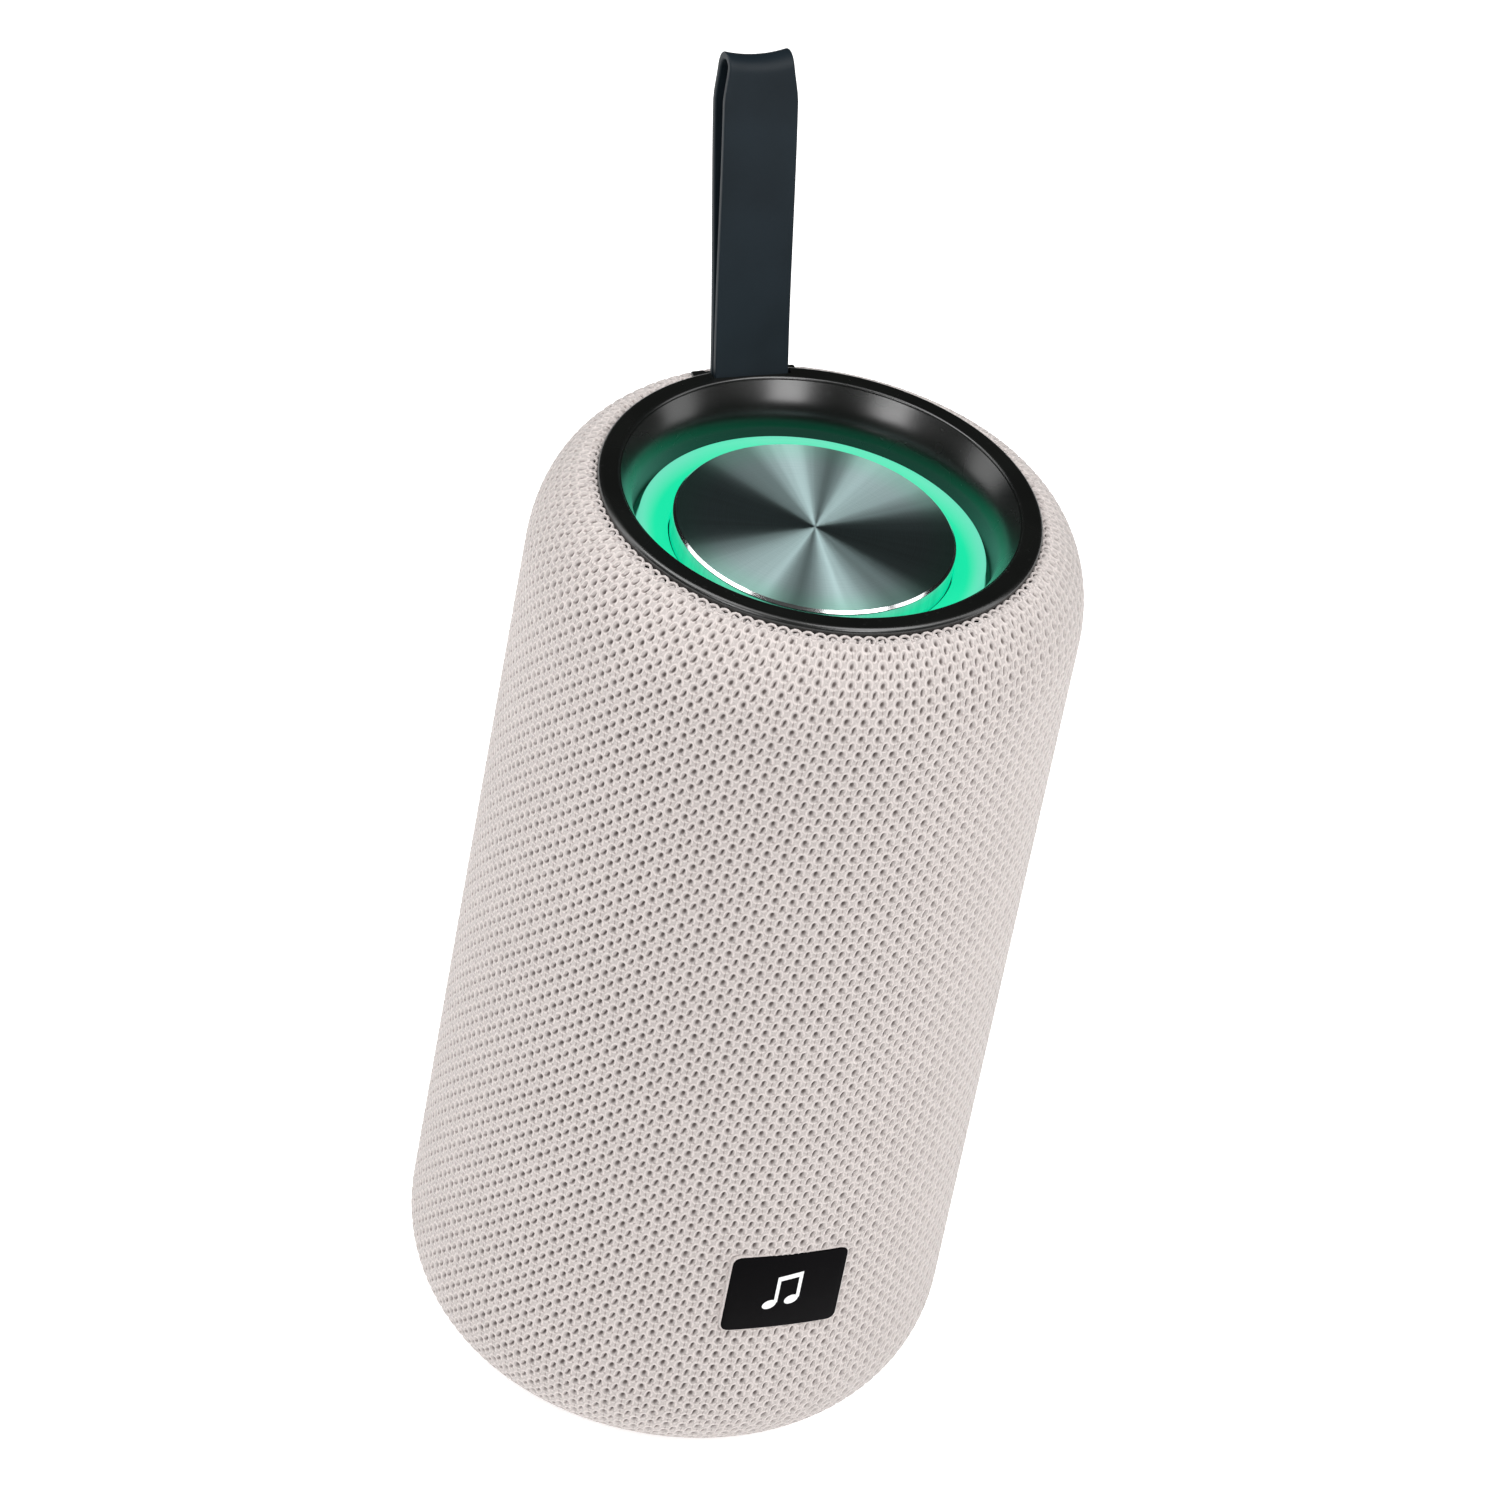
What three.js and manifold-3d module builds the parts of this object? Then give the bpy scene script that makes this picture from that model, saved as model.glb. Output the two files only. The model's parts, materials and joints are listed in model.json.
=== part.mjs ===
// Portable cylinder speaker with a knitted sleeve, a glowing ring round a spun metal
// cap, a silicone carry strap and a rear control strip. Millimetres, +Z up.
// Origin: centre of the foot's underside. The label faces -Y and the strap is at +Y.
import * as THREE from 'three';
import { mergeVertices } from 'three/addons/utils/BufferGeometryUtils.js';
import Module from 'manifold-3d';

const wasm = await Module();
wasm.setup();

// ---------------------------------------------------------------- driving dimensions
const GAP = 0.3; // play left between neighbouring pieces
const TURN = 36; // facets round the outer shells
const INNER_TURN = 24; // facets round the shells inside
const SMALL_TURN = 16; // facets round the small round pieces
const LEAD_RADIUS = 0.8; // insulated wires inside

const BODY = {
  radius: 47.5, // over the fabric
  bottom: 0.9, // lowest fabric
  flatRadius: 29.5, // where the rounded bottom starts
  bottomRise: 21, // height of the rounded bottom
  shoulderRadius: 37.9, // where the shoulder meets the top ring
  shoulderStart: 163.3,
  shoulderRise: 17,
};
const FABRIC_THICKNESS = 1.0;
const CAGE_THICKNESS = 1.5;

const RING = {
  outer: 37.9,
  top: 181.8,
  lipRadius: 1.1, // rounding of the inner lip
  edgeRadius: 0.8, // rounding of the outer edge
  wallTop: 33.0, // bowl wall, radius under the lip
  wallFoot: 31.0, // bowl wall, radius at its foot
  footHeight: 171.6,
  floor: 170.0,
  flankBottom: 176.0,
  skirtOuter: 36.2,
  skirtInner: 34.4,
  skirtBottom: 160.8,
};
const BRACKET = {
  halfWidth: 9.5,
  front: 34.6,
  back: 39.6,
  bottom: 176.0,
  sillTop: 179.9, // low part behind the strap, so that it can hang down
  sillFront: 37.4,
};

const STRAP = {
  width: 13.4,
  leg: 1.3, // thickness of one leg
  neckHalf: 1.45, // half the thickness where both legs meet
  tipHalf: 2.95, // half the thickness near the fold
  length: 52.8, // free length above the bend line
  rootDepth: 5.6, // root below the bend line
  pinDepth: 3.9,
  lean: THREE.MathUtils.degToRad(22),
  bend: new THREE.Vector3(0, 37.62, 183.84), // the line it bends about
  slotHalf: 1.8,
  sidePlay: 0.4,
  swingIn: 110, // degrees from its lean to flat over the bowl
  swingOut: 98, // degrees from its lean to flat down the shoulder
};
const PIN_RADIUS = 0.8;

const LIGHT = { inner: 24.8, outer: 30.4, flat: 27.4, low: 171.2, high: 172.8, base: 169.1 };
const REFLECTOR = { inner: 24.6, outer: 33.9, floor: 163.6, floorTop: 164.8, wall: 168.8 };
const CAP = { radius: 24.2, top: 175.2, skirtBottom: 170.6, wall: 1.0, chamfer: 0.6 };
const RADIATOR = { outer: 24.2, inner: 19.8, piston: 15.2, rollCentre: 17.8, roll: 2.4 };

const ENCLOSURE = { outer: 40.5, wall: 2.2, bottom: 56, top: 160.5, deck: 2.5, deckHole: 20.5 };
const DIVIDER = { bottom: 53.5, top: 55.7 };
const CHASSIS = { outer: 40.5, inner: 38.5, bottom: 7.8, flange: 9.8, top: 53.2, flangeInner: 22.5 };

const DRIVER = { plane: -34.5, lower: 81.4, upper: 131.4, flange: 24.5, screwCircle: 22.6 };

const PANEL = { half: 10, low: 22, high: 124, corner: 4, inner: 45.6, outer: 47.7 };
const POCKET = { half: 7.5, low: 25.4, high: 51.6, floor: 39.4, wall: 1.2 };
const FLAP = { half: 7.1, pivotY: 46.3, pivotZ: 26.8, top: 51.2, thickness: 1.6 };
const BUTTON = { radius: 4.3, first: 64, pitch: 13, face: 48.4 };
const BUTTON_NAMES = [
  'volume_down_button',
  'play_button',
  'volume_up_button',
  'light_button',
  'power_button',
];

const LABEL = { half: 10.75, low: 37.3, high: 53.0, corner: 1.8, inner: 46.5, outer: 47.9 };
const FOOT = { radius: 27.5, height: 2.4, chamfer: 0.8 };
const BASE = {
  neck: 29.2,
  recess: 27.8,
  recessTop: 2.7,
  bottom: 1.0,
  flange: 34,
  flangeLow: 5.0,
  top: 7.5,
};
const BASE_SCREW_CIRCLE = 25.5;
const RING_SCREW_CIRCLE = 36.4;
const CELL = { radius: 9.1, length: 65, y: -9, low: 24.5, high: 43.6 };

// ---------------------------------------------------------------- finishes
function finish(color, roughness, metalness = 0) {
  return new THREE.MeshStandardMaterial({ color, roughness, metalness });
}
const KNIT = () => finish(0xbfb7b4, 0.95);
const BLACK_PLASTIC = () => finish(0x0f1210, 0.3);
const GREY_PLASTIC = () => finish(0x2b2d30, 0.6);
const SILICONE = () => finish(0x262d33, 0.55);
const BLACK_RUBBER = () => finish(0x17181a, 0.8);
const STEEL = () => finish(0x9aa0a4, 0.35, 1);
const ZINC = () => finish(0x6f7478, 0.4, 1);
const SPUN_METAL = () => finish(0x6b7472, 0.3, 1);
const BOARD = () => finish(0x1d4a33, 0.5);
const WHITE_PLASTIC = () => finish(0xe6e8e6, 0.5);
const GLOW = () => finish(0x19e6a8, 0.4);
const PAPER = () => finish(0x26282b, 0.85);
const CELL_WRAP = () => finish(0x2f6fb0, 0.45);
const WIRE = () => finish(0x8a1f1f, 0.6);

// ---------------------------------------------------------------- shape helpers
// A closed solid from any three.js geometry, with its faces turned outwards.
function solid(geometry) {
  const bare = geometry.clone();
  bare.deleteAttribute('normal');
  bare.deleteAttribute('uv');
  const merged = mergeVertices(bare, 1e-4);
  const points = merged.getAttribute('position').array;
  const corners = merged.getIndex().array;
  const triangles = [];
  for (let i = 0; i < corners.length; i += 3) {
    const [a, b, c] = [corners[i], corners[i + 1], corners[i + 2]];
    if (a !== b && b !== c && c !== a) triangles.push([a, b, c]);
  }
  const vertex = (i) => new THREE.Vector3().fromArray(points, 3 * i);
  let volume = 0;
  for (const [a, b, c] of triangles) {
    volume += vertex(a).dot(vertex(b).cross(vertex(c)));
  }
  const outward = volume > 0 ? triangles : triangles.map(([a, b, c]) => [a, c, b]);
  return new wasm.Manifold(
    new wasm.Mesh({
      numProp: 3,
      vertProperties: new Float32Array(points),
      triVerts: new Uint32Array(outward.flat()),
    }),
  );
}

function join(first, ...others) {
  return others.reduce((whole, other) => whole.add(other), first);
}

function cut(first, ...others) {
  return others.reduce((whole, other) => whole.subtract(other), first);
}

function piece(name, body, material) {
  const { numProp, vertProperties, triVerts } = body.getMesh();
  const geometry = new THREE.BufferGeometry();
  geometry.setAttribute('position', new THREE.BufferAttribute(vertProperties, numProp));
  geometry.setIndex(new THREE.BufferAttribute(triVerts, 1));
  geometry.computeVertexNormals();
  const mesh = new THREE.Mesh(geometry, material);
  mesh.name = name;
  return mesh;
}

// A body turned about Z from [radius, height] points. A profile off the axis is closed.
function turned(profile, sides = TURN) {
  const points = profile.map(([r, z]) => new THREE.Vector2(r, z));
  const onAxis = profile[0][0] === 0 && profile.at(-1)[0] === 0;
  if (!onAxis) points.push(points[0].clone());
  return new THREE.LatheGeometry(points, sides).rotateX(Math.PI / 2);
}

function block(x, y, z) {
  const size = [x, y, z].map(([low, high]) => high - low);
  const middle = [x, y, z].map(([low, high]) => (low + high) / 2);
  return new THREE.BoxGeometry(...size).translate(...middle);
}

// A round bar standing along +Z from height low to height high.
function bar(radius, low, high, x = 0, y = 0, sides = SMALL_TURN) {
  const cylinder = new THREE.CylinderGeometry(radius, radius, high - low, sides);
  return cylinder.rotateX(Math.PI / 2).translate(x, y, (low + high) / 2);
}

// Points along an ellipse from one angle to another, in degrees.
function arc(centreR, centreZ, radiusR, radiusZ, from, to, steps) {
  return Array.from({ length: steps + 1 }, (_, i) => {
    const angle = THREE.MathUtils.degToRad(from + ((to - from) * i) / steps);
    return [centreR + radiusR * Math.cos(angle), centreZ + radiusZ * Math.sin(angle)];
  });
}

function roundedRectangle(half, low, high, corner) {
  const shape = new THREE.Shape();
  const right = Math.PI / 2;
  shape.absarc(half - corner, low + corner, corner, -right, 0, false);
  shape.absarc(half - corner, high - corner, corner, 0, right, false);
  shape.absarc(-half + corner, high - corner, corner, right, 2 * right, false);
  shape.absarc(-half + corner, low + corner, corner, 2 * right, 3 * right, false);
  shape.closePath();
  return shape;
}

// A shape drawn in the XZ plane and given depth from near to far along +Y.
function plate(shape, near, far) {
  const options = { depth: far - near, bevelEnabled: false, curveSegments: 4 };
  return new THREE.ExtrudeGeometry(shape, options).rotateX(Math.PI / 2).translate(0, far, 0);
}

// A part of a round shell as wide as the given shape, at the front (-1) or the back (+1).
function shellPanel(shape, inner, outer, low, high, side) {
  const shell = turned([[inner, low], [outer, low], [outer, high], [inner, high]], 2 * TURN);
  const [near, far] = side > 0 ? [inner / 2, outer + 5] : [-outer - 5, -inner / 2];
  return solid(shell).intersect(solid(plate(shape, near, far)));
}

function wire(name, route, steps) {
  const sides = 8;
  const section = Array.from({ length: sides }, (_, i) => {
    const angle = (2 * Math.PI * i) / sides;
    return new THREE.Vector2(LEAD_RADIUS * Math.cos(angle), LEAD_RADIUS * Math.sin(angle));
  });
  const path = new THREE.CatmullRomCurve3(route.map((point) => new THREE.Vector3(...point)));
  const options = { extrudePath: path, steps, bevelEnabled: false };
  const tube = new THREE.ExtrudeGeometry(new THREE.Shape(section), options);
  return piece(name, solid(tube), WIRE());
}

function onCircle(radius, degrees) {
  const angle = THREE.MathUtils.degToRad(degrees);
  return [radius * Math.cos(angle), radius * Math.sin(angle)];
}

// ---------------------------------------------------------------- outer skins
// Outline of the sleeve, moved inwards by an offset, from the bottom edge to the top edge.
function skinOutline(offset, steps) {
  const { radius, bottom, flatRadius, bottomRise, shoulderRadius, shoulderStart } = BODY;
  const bottomWidth = radius - flatRadius;
  const shoulderWidth = radius - shoulderRadius;
  const low = arc(
    flatRadius, bottom + bottomRise, bottomWidth - offset, bottomRise - offset, -90, 0, steps,
  );
  const high = arc(
    shoulderRadius, shoulderStart, shoulderWidth - offset, BODY.shoulderRise - offset, 0, 88, steps,
  );
  return [...low, ...high];
}

function skin(offset, thickness, bottomEdge, topEdge, sides) {
  const outer = skinOutline(offset, 4);
  const inner = skinOutline(offset + thickness, 4).reverse();
  const outline = [...outer, ...inner].map(([r, z]) => [
    Math.max(r, z > BODY.shoulderStart ? topEdge : bottomEdge),
    z,
  ]);
  return solid(turned(outline, sides));
}

function strapNotch(play) {
  const side = BRACKET.halfWidth + play;
  return solid(block([-side, side], [34, BRACKET.back + play], [BRACKET.bottom - play, 190]));
}

function rearWindow(play) {
  const { half, low, high, corner } = PANEL;
  return solid(plate(roundedRectangle(half + play, low - play, high + play, corner), 40, 55));
}

function fabricSleeve() {
  const label = roundedRectangle(
    LABEL.half + GAP, LABEL.low - GAP, LABEL.high + GAP, LABEL.corner,
  );
  const body = cut(
    skin(0, FABRIC_THICKNESS, BODY.flatRadius, RING.outer + GAP, TURN),
    strapNotch(GAP),
    rearWindow(GAP),
    solid(plate(label, -60, -40)),
  );
  return piece('fabric_sleeve', body, KNIT());
}

// Open sound windows in front of the drivers, in rows and columns.
function soundWindows() {
  const windows = [];
  for (let row = 0; row < 6; row += 1) {
    for (let column = -1; column <= 1; column += 1) {
      const z = 60 + 16 * row;
      const opening = block([-7, 7], [-50, -41], [z, z + 12]);
      windows.push(solid(opening.rotateZ(THREE.MathUtils.degToRad(22.5 * column))));
    }
  }
  return windows;
}

function grilleCage() {
  const offset = FABRIC_THICKNESS + GAP;
  const body = cut(
    skin(offset, CAGE_THICKNESS, BODY.flatRadius + 0.5, RING.outer + 2 * GAP, INNER_TURN),
    strapNotch(GAP),
    rearWindow(2 * GAP),
    ...soundWindows(),
  );
  return piece('grille_cage', body, GREY_PLASTIC());
}

// ---------------------------------------------------------------- top ring and strap
function topRing() {
  const { outer, top, lipRadius, edgeRadius, wallTop, wallFoot, footHeight } = RING;
  const lip = arc(wallTop + lipRadius, top - lipRadius, lipRadius, lipRadius, 180, 90, 2);
  const wallRise = top - lipRadius - footHeight;
  const wall = arc(wallFoot, footHeight + wallRise, wallTop - wallFoot, wallRise, -90, -15, 4);
  const edge = arc(outer - edgeRadius, top - edgeRadius, edgeRadius, edgeRadius, 90, 0, 2);
  const profile = [
    [wallFoot, RING.floor],
    ...wall,
    ...lip,
    ...edge,
    [outer, RING.flankBottom],
    [RING.skirtOuter, RING.flankBottom],
    [RING.skirtOuter, RING.skirtBottom],
    [RING.skirtInner, RING.skirtBottom],
    [RING.skirtInner, RING.floor],
  ];
  const { halfWidth, front, back, bottom, sillTop, sillFront } = BRACKET;
  const bracket = solid(block([-halfWidth, halfWidth], [front, back], [bottom, top]));
  const slotSide = STRAP.width / 2 + STRAP.sidePlay;
  const sill = solid(block([-slotSide, slotSide], [sillFront, back + 1], [sillTop, top + 1]));
  const slotFloor = -STRAP.rootDepth - GAP;
  const slotShape = [
    [-STRAP.slotHalf, slotFloor],
    [STRAP.slotHalf, slotFloor],
    [STRAP.slotHalf, 4],
    [-STRAP.slotHalf, 4],
  ];
  const slot = solid(leaning(slotShape, 2 * slotSide));
  const screwBosses = [];
  const screwHoles = [];
  for (const [x, y] of ringScrewPlaces()) {
    screwBosses.push(solid(bar(2.0, RING.skirtBottom, RING.floor + 0.5, x, y, 12)));
    screwHoles.push(solid(bar(1.1, RING.skirtBottom - 1, 166.2, x, y, 8)));
  }
  const leadNotch = solid(
    block([28, 42], [-2, 2], [RING.skirtBottom - 1, 163.8]).rotateZ(THREE.MathUtils.degToRad(135)),
  );
  const pinHole = pinBar(PIN_RADIUS + GAP, 2 * halfWidth - 2);
  const whole = join(solid(turned(profile)), bracket, ...screwBosses);
  const body = cut(whole, sill, slot, pinHole, leadNotch, ...screwHoles);
  return piece('top_ring', body, BLACK_PLASTIC());
}

function ringScrewPlaces() {
  return [30, 160, 270].map((degrees) => onCircle(RING_SCREW_CIRCLE, degrees));
}

// An outline of [across, along] points in the strap's own plane, given width along X.
function leaning(outline, width, hole) {
  const shape = new THREE.Shape(outline.map(([u, v]) => new THREE.Vector2(u, v)));
  if (hole) shape.holes.push(new THREE.Path(hole.map(([u, v]) => new THREE.Vector2(u, v))));
  const options = { depth: width, bevelEnabled: false };
  const geometry = new THREE.ExtrudeGeometry(shape, options).translate(0, 0, -width / 2);
  const across = new THREE.Vector3(0, Math.cos(STRAP.lean), -Math.sin(STRAP.lean));
  const along = new THREE.Vector3(0, Math.sin(STRAP.lean), Math.cos(STRAP.lean));
  const frame = new THREE.Matrix4().makeBasis(across, along, new THREE.Vector3(1, 0, 0));
  return geometry.applyMatrix4(frame.setPosition(STRAP.bend));
}

// The steel pin that holds the strap's root, along X.
function pinBar(radius, length) {
  const along = new THREE.Vector3(0, Math.sin(STRAP.lean), Math.cos(STRAP.lean));
  const centre = STRAP.bend.clone().addScaledVector(along, -STRAP.pinDepth);
  const rod = new THREE.CylinderGeometry(radius, radius, length, 12);
  return solid(rod.rotateZ(Math.PI / 2).translate(...centre));
}

// Room for the loop's neck, with play round it, when it is turned about the bend line.
function neckRoom(degrees) {
  const half = STRAP.neckHalf + GAP;
  const reach = 4 * half;
  const turn = THREE.MathUtils.degToRad(degrees);
  const outline = [[-half, 0], [half, 0], [half, reach], [-half, reach]].map(([u, v]) => [
    u * Math.cos(turn) - v * Math.sin(turn),
    u * Math.sin(turn) + v * Math.cos(turn),
  ]);
  return solid(leaning(outline, STRAP.width + 2));
}

function strapRoot() {
  const { neckHalf, rootDepth, width, swingIn, swingOut } = STRAP;
  const seat = neckHalf + GAP;
  const bow = THREE.MathUtils.radToDeg(Math.asin(neckHalf / seat));
  const hollow = arc(0, 0, seat, seat, -90 + bow, -90 - bow, 6);
  const outline = [[-neckHalf, -rootDepth], [neckHalf, -rootDepth], ...hollow];
  const pinHole = pinBar(PIN_RADIUS + GAP, width + 4);
  const body = cut(solid(leaning(outline, width)), neckRoom(swingIn), neckRoom(-swingOut), pinHole);
  return piece('strap_root', body, SILICONE());
}

// Half the loop's thickness at a distance along it: narrow at the neck, wide at the fold.
function loopHalf(along) {
  const t = THREE.MathUtils.smoothstep(along, 0, 0.85 * STRAP.length);
  return STRAP.neckHalf + (STRAP.tipHalf - STRAP.neckHalf) * t;
}

function strapLoop() {
  const { neckHalf, tipHalf, leg, length } = STRAP;
  const tip = length - tipHalf;
  const stations = [6, 16, 26, 36, 45];
  const rightSide = stations.map((v) => [loopHalf(v), v]);
  const leftSide = rightSide.map(([u, v]) => [-u, v]).reverse();
  const outline = [
    ...arc(0, 0, neckHalf, neckHalf, -180, 0, 6),
    ...rightSide,
    ...arc(0, tip, tipHalf, tipHalf, 0, 180, 8),
    ...leftSide,
  ];
  const innerTip = tipHalf - leg;
  const hole = [
    [0, 5],
    ...stations.map((v) => [loopHalf(v) - leg, v]),
    ...arc(0, tip, innerTip, innerTip, 0, 180, 6),
    ...stations.map((v) => [leg - loopHalf(v), v]).reverse(),
  ];
  return piece('strap_loop', solid(leaning(outline, STRAP.width, hole)), SILICONE());
}

// ---------------------------------------------------------------- light and radiator
function lightRing() {
  const { inner, outer, flat, low, high, base } = LIGHT;
  const flange = 33.6;
  const profile = [
    [inner, base],
    [flange, base],
    [flange, base + 0.6],
    [outer, base + 0.6],
    [outer, high - 0.3],
    [outer - 0.3, high],
    [flat, low],
    [inner, low],
  ];
  return piece('light_ring', solid(turned(profile)), GLOW());
}

function lightReflector() {
  const { inner, outer, floor, floorTop, wall } = REFLECTOR;
  const profile = [
    [inner, ENCLOSURE.top + GAP],
    [inner + 0.8, ENCLOSURE.top + GAP],
    [inner + 0.8, floor],
    [outer, floor],
    [outer, wall],
    [outer - 1, wall],
    [outer - 1, floorTop],
    [inner + 0.8, floorTop],
    [inner + 0.8, wall],
    [inner, wall],
  ];
  const leadHole = solid(bar(2.1, floor - 1, floorTop + 1, ...onCircle(29.6, 135), 8));
  return piece('light_reflector', cut(solid(turned(profile, INNER_TURN)), leadHole), WHITE_PLASTIC());
}

function ledBoard() {
  const bottom = REFLECTOR.floorTop + GAP;
  const top = bottom + 1.2;
  const outline = [[25.8, bottom], [32.2, bottom], [32.2, top], [25.8, top]];
  const ring = solid(turned(outline, INNER_TURN));
  const lamps = [];
  for (let i = 0; i < 12; i += 1) {
    const lamp = block([27.4, 30.4], [-1.5, 1.5], [top - 0.2, top + 0.9]);
    lamps.push(solid(lamp.rotateZ((i * Math.PI) / 6)));
  }
  return piece('led_board', join(ring, ...lamps), BOARD());
}

function radiatorCap() {
  const { radius, top, skirtBottom, wall, chamfer } = CAP;
  const profile = [
    [0, top - wall],
    [radius - wall, top - wall],
    [radius - wall, skirtBottom],
    [radius, skirtBottom],
    [radius, top - chamfer],
    [radius - chamfer, top],
    [0, top],
  ];
  return piece('radiator_cap', solid(turned(profile)), SPUN_METAL());
}

function radiatorPiston() {
  const bossTop = CAP.top - CAP.wall - GAP;
  const profile = [
    [0, 161.4],
    [RADIATOR.piston, 161.4],
    [RADIATOR.piston, 163.4],
    [9, 163.4],
    [8, bossTop],
    [0, bossTop],
  ];
  return piece('radiator_piston', solid(turned(profile, SMALL_TURN)), GREY_PLASTIC());
}

// Half-round rubber roll between an inner and an outer flat edge.
function rollProfile(centre, roll, base, innerEdge, outerEdge, thickness) {
  const middle = base + thickness / 2;
  const over = arc(centre, middle, roll + thickness / 2, roll + thickness / 2, 0, 180, 4);
  const under = arc(centre, middle, roll - thickness / 2, roll - thickness / 2, 180, 0, 4);
  return [
    [outerEdge, base],
    [outerEdge, base + thickness],
    ...over.map(([r, z]) => [r, Math.max(z, base + thickness)]),
    [innerEdge, base + thickness],
    [innerEdge, base],
    ...under.map(([r, z]) => [r, Math.max(z, base)]),
  ];
}

function radiatorSurround() {
  const profile = rollProfile(RADIATOR.rollCentre, RADIATOR.roll, 163.7, 13.4, 22.3, 0.6);
  return piece('radiator_surround', solid(turned(profile, INNER_TURN)), BLACK_RUBBER());
}

function radiatorFrame() {
  const { inner, outer } = RADIATOR;
  const bottom = ENCLOSURE.top + GAP;
  const profile = [
    [inner, bottom],
    [outer, bottom],
    [outer, 166],
    [22.6, 166],
    [22.6, 163.4],
    [inner, 163.4],
  ];
  return piece('radiator_frame', solid(turned(profile, INNER_TURN)), GREY_PLASTIC());
}

// ---------------------------------------------------------------- sound chamber
// Turns a geometry made along +Z to face the front and puts it at a driver's centre.
function facingFront(geometry, height) {
  return geometry.rotateX(Math.PI / 2).translate(0, DRIVER.plane, height);
}

function driverScrewPlaces() {
  return [45, 135, 225, 315].map((degrees) => onCircle(DRIVER.screwCircle, degrees));
}

function soundChamber() {
  const { outer, wall, bottom, top, deck, deckHole } = ENCLOSURE;
  const inner = outer - wall;
  const profile = [
    [inner, bottom],
    [outer, bottom],
    [outer, top],
    [deckHole, top],
    [deckHole, top - deck],
    [inner, top - deck],
  ];
  const bosses = [];
  const cuts = [];
  for (const height of [DRIVER.lower, DRIVER.upper]) {
    bosses.push(solid(facingFront(bar(24.8, -6, 0, 0, 0, INNER_TURN), height)));
    cuts.push(solid(facingFront(bar(25.2, 0, 20, 0, 0, INNER_TURN), height)));
    cuts.push(solid(facingFront(bar(20.9, -12, 1, 0, 0, INNER_TURN), height)));
    for (const [x, y] of driverScrewPlaces()) {
      cuts.push(solid(facingFront(bar(1.2, -5, 1, x, y, 8), height)));
    }
  }
  for (const [x, y] of ringScrewPlaces()) {
    cuts.push(solid(bar(1.1, top - deck - 1, top + 1, x, y, 8)));
  }
  const tube = solid(turned(profile, INNER_TURN));
  const inside = solid(turned([[0, bottom], [outer, bottom], [outer, top], [0, top]], INNER_TURN));
  const body = cut(join(tube, ...bosses.map((boss) => boss.intersect(inside))), ...cuts);
  return piece('sound_chamber', body, GREY_PLASTIC());
}

function chamberFloor() {
  const { bottom, top } = DIVIDER;
  const outline = [[0, bottom], [ENCLOSURE.outer, bottom], [ENCLOSURE.outer, top], [0, top]];
  const disc = solid(turned(outline, INNER_TURN));
  const holes = [-10, 10].map((x) => solid(bar(1.3, bottom - 1, top + 1, x, 26, 8)));
  return piece('chamber_floor', cut(disc, ...holes), GREY_PLASTIC());
}

// One loudspeaker. Its pieces are made along +Z, with the mounting face at height 0.
function driver(name, height) {
  const group = new THREE.Group();
  group.rotation.x = Math.PI / 2;
  group.position.set(0, DRIVER.plane, height);
  const basket = turned(
    [
      [DRIVER.flange, GAP],
      [DRIVER.flange, 2.0],
      [18.9, 2.0],
      [18.9, 0.8],
      [12.0, -11.6],
      [8.2, -11.6],
      [8.2, -12.8],
      [12.6, -12.8],
      [20.4, GAP],
    ],
    SMALL_TURN,
  );
  const openings = [
    solid(block([-30, 30], [-7, 7], [-9.5, -2.5])),
    solid(block([-7, 7], [-30, 30], [-9.5, -2.5])),
    ...driverScrewPlaces().map(([x, y]) => solid(bar(1.2, -1, 3, x, y, 8))),
  ];
  group.add(piece(`${name}_basket`, cut(solid(basket), ...openings), ZINC()));
  const magnet = turned(
    [
      [0, -22],
      [13.5, -22],
      [13.5, -13.1],
      [7.4, -13.1],
      [7.4, -20.5],
      [5.8, -20.5],
      [5.8, -13.1],
      [0, -13.1],
    ],
    SMALL_TURN,
  );
  group.add(piece(`${name}_magnet`, solid(magnet), ZINC()));
  const cone = turned(
    [
      [0, -5.4],
      [6.2, -7.6],
      [6.2, -18.4],
      [6.9, -18.4],
      [6.9, -8.2],
      [15.4, 1.1],
      [15.4, 1.9],
      [14.2, 1.7],
      [6.9, -6.6],
      [3.8, -4.9],
      [0, -4.2],
    ],
    SMALL_TURN,
  );
  group.add(piece(`${name}_cone`, solid(cone), PAPER()));
  const surround = turned(rollProfile(17.6, 2.0, 2.3, 14.4, 20.6, 0.6), SMALL_TURN);
  group.add(piece(`${name}_surround`, solid(surround), BLACK_RUBBER()));
  driverScrewPlaces().forEach(([x, y], i) => {
    const head = solid(bar(1.7, 2.3, 3.5, x, y, 8));
    const shank = solid(bar(0.9, -4, 2.4, x, y, 6));
    group.add(piece(`${name}_screw_${i + 1}`, join(shank, head), STEEL()));
  });
  return group;
}

function ringScrews() {
  return ringScrewPlaces().map(([x, y], i) => {
    const head = solid(bar(1.4, 156.4, 157.7, x, y, 8));
    const shank = solid(bar(0.8, 157.6, 165.6, x, y, 6));
    return piece(`ring_screw_${i + 1}`, join(shank, head), STEEL());
  });
}

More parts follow.
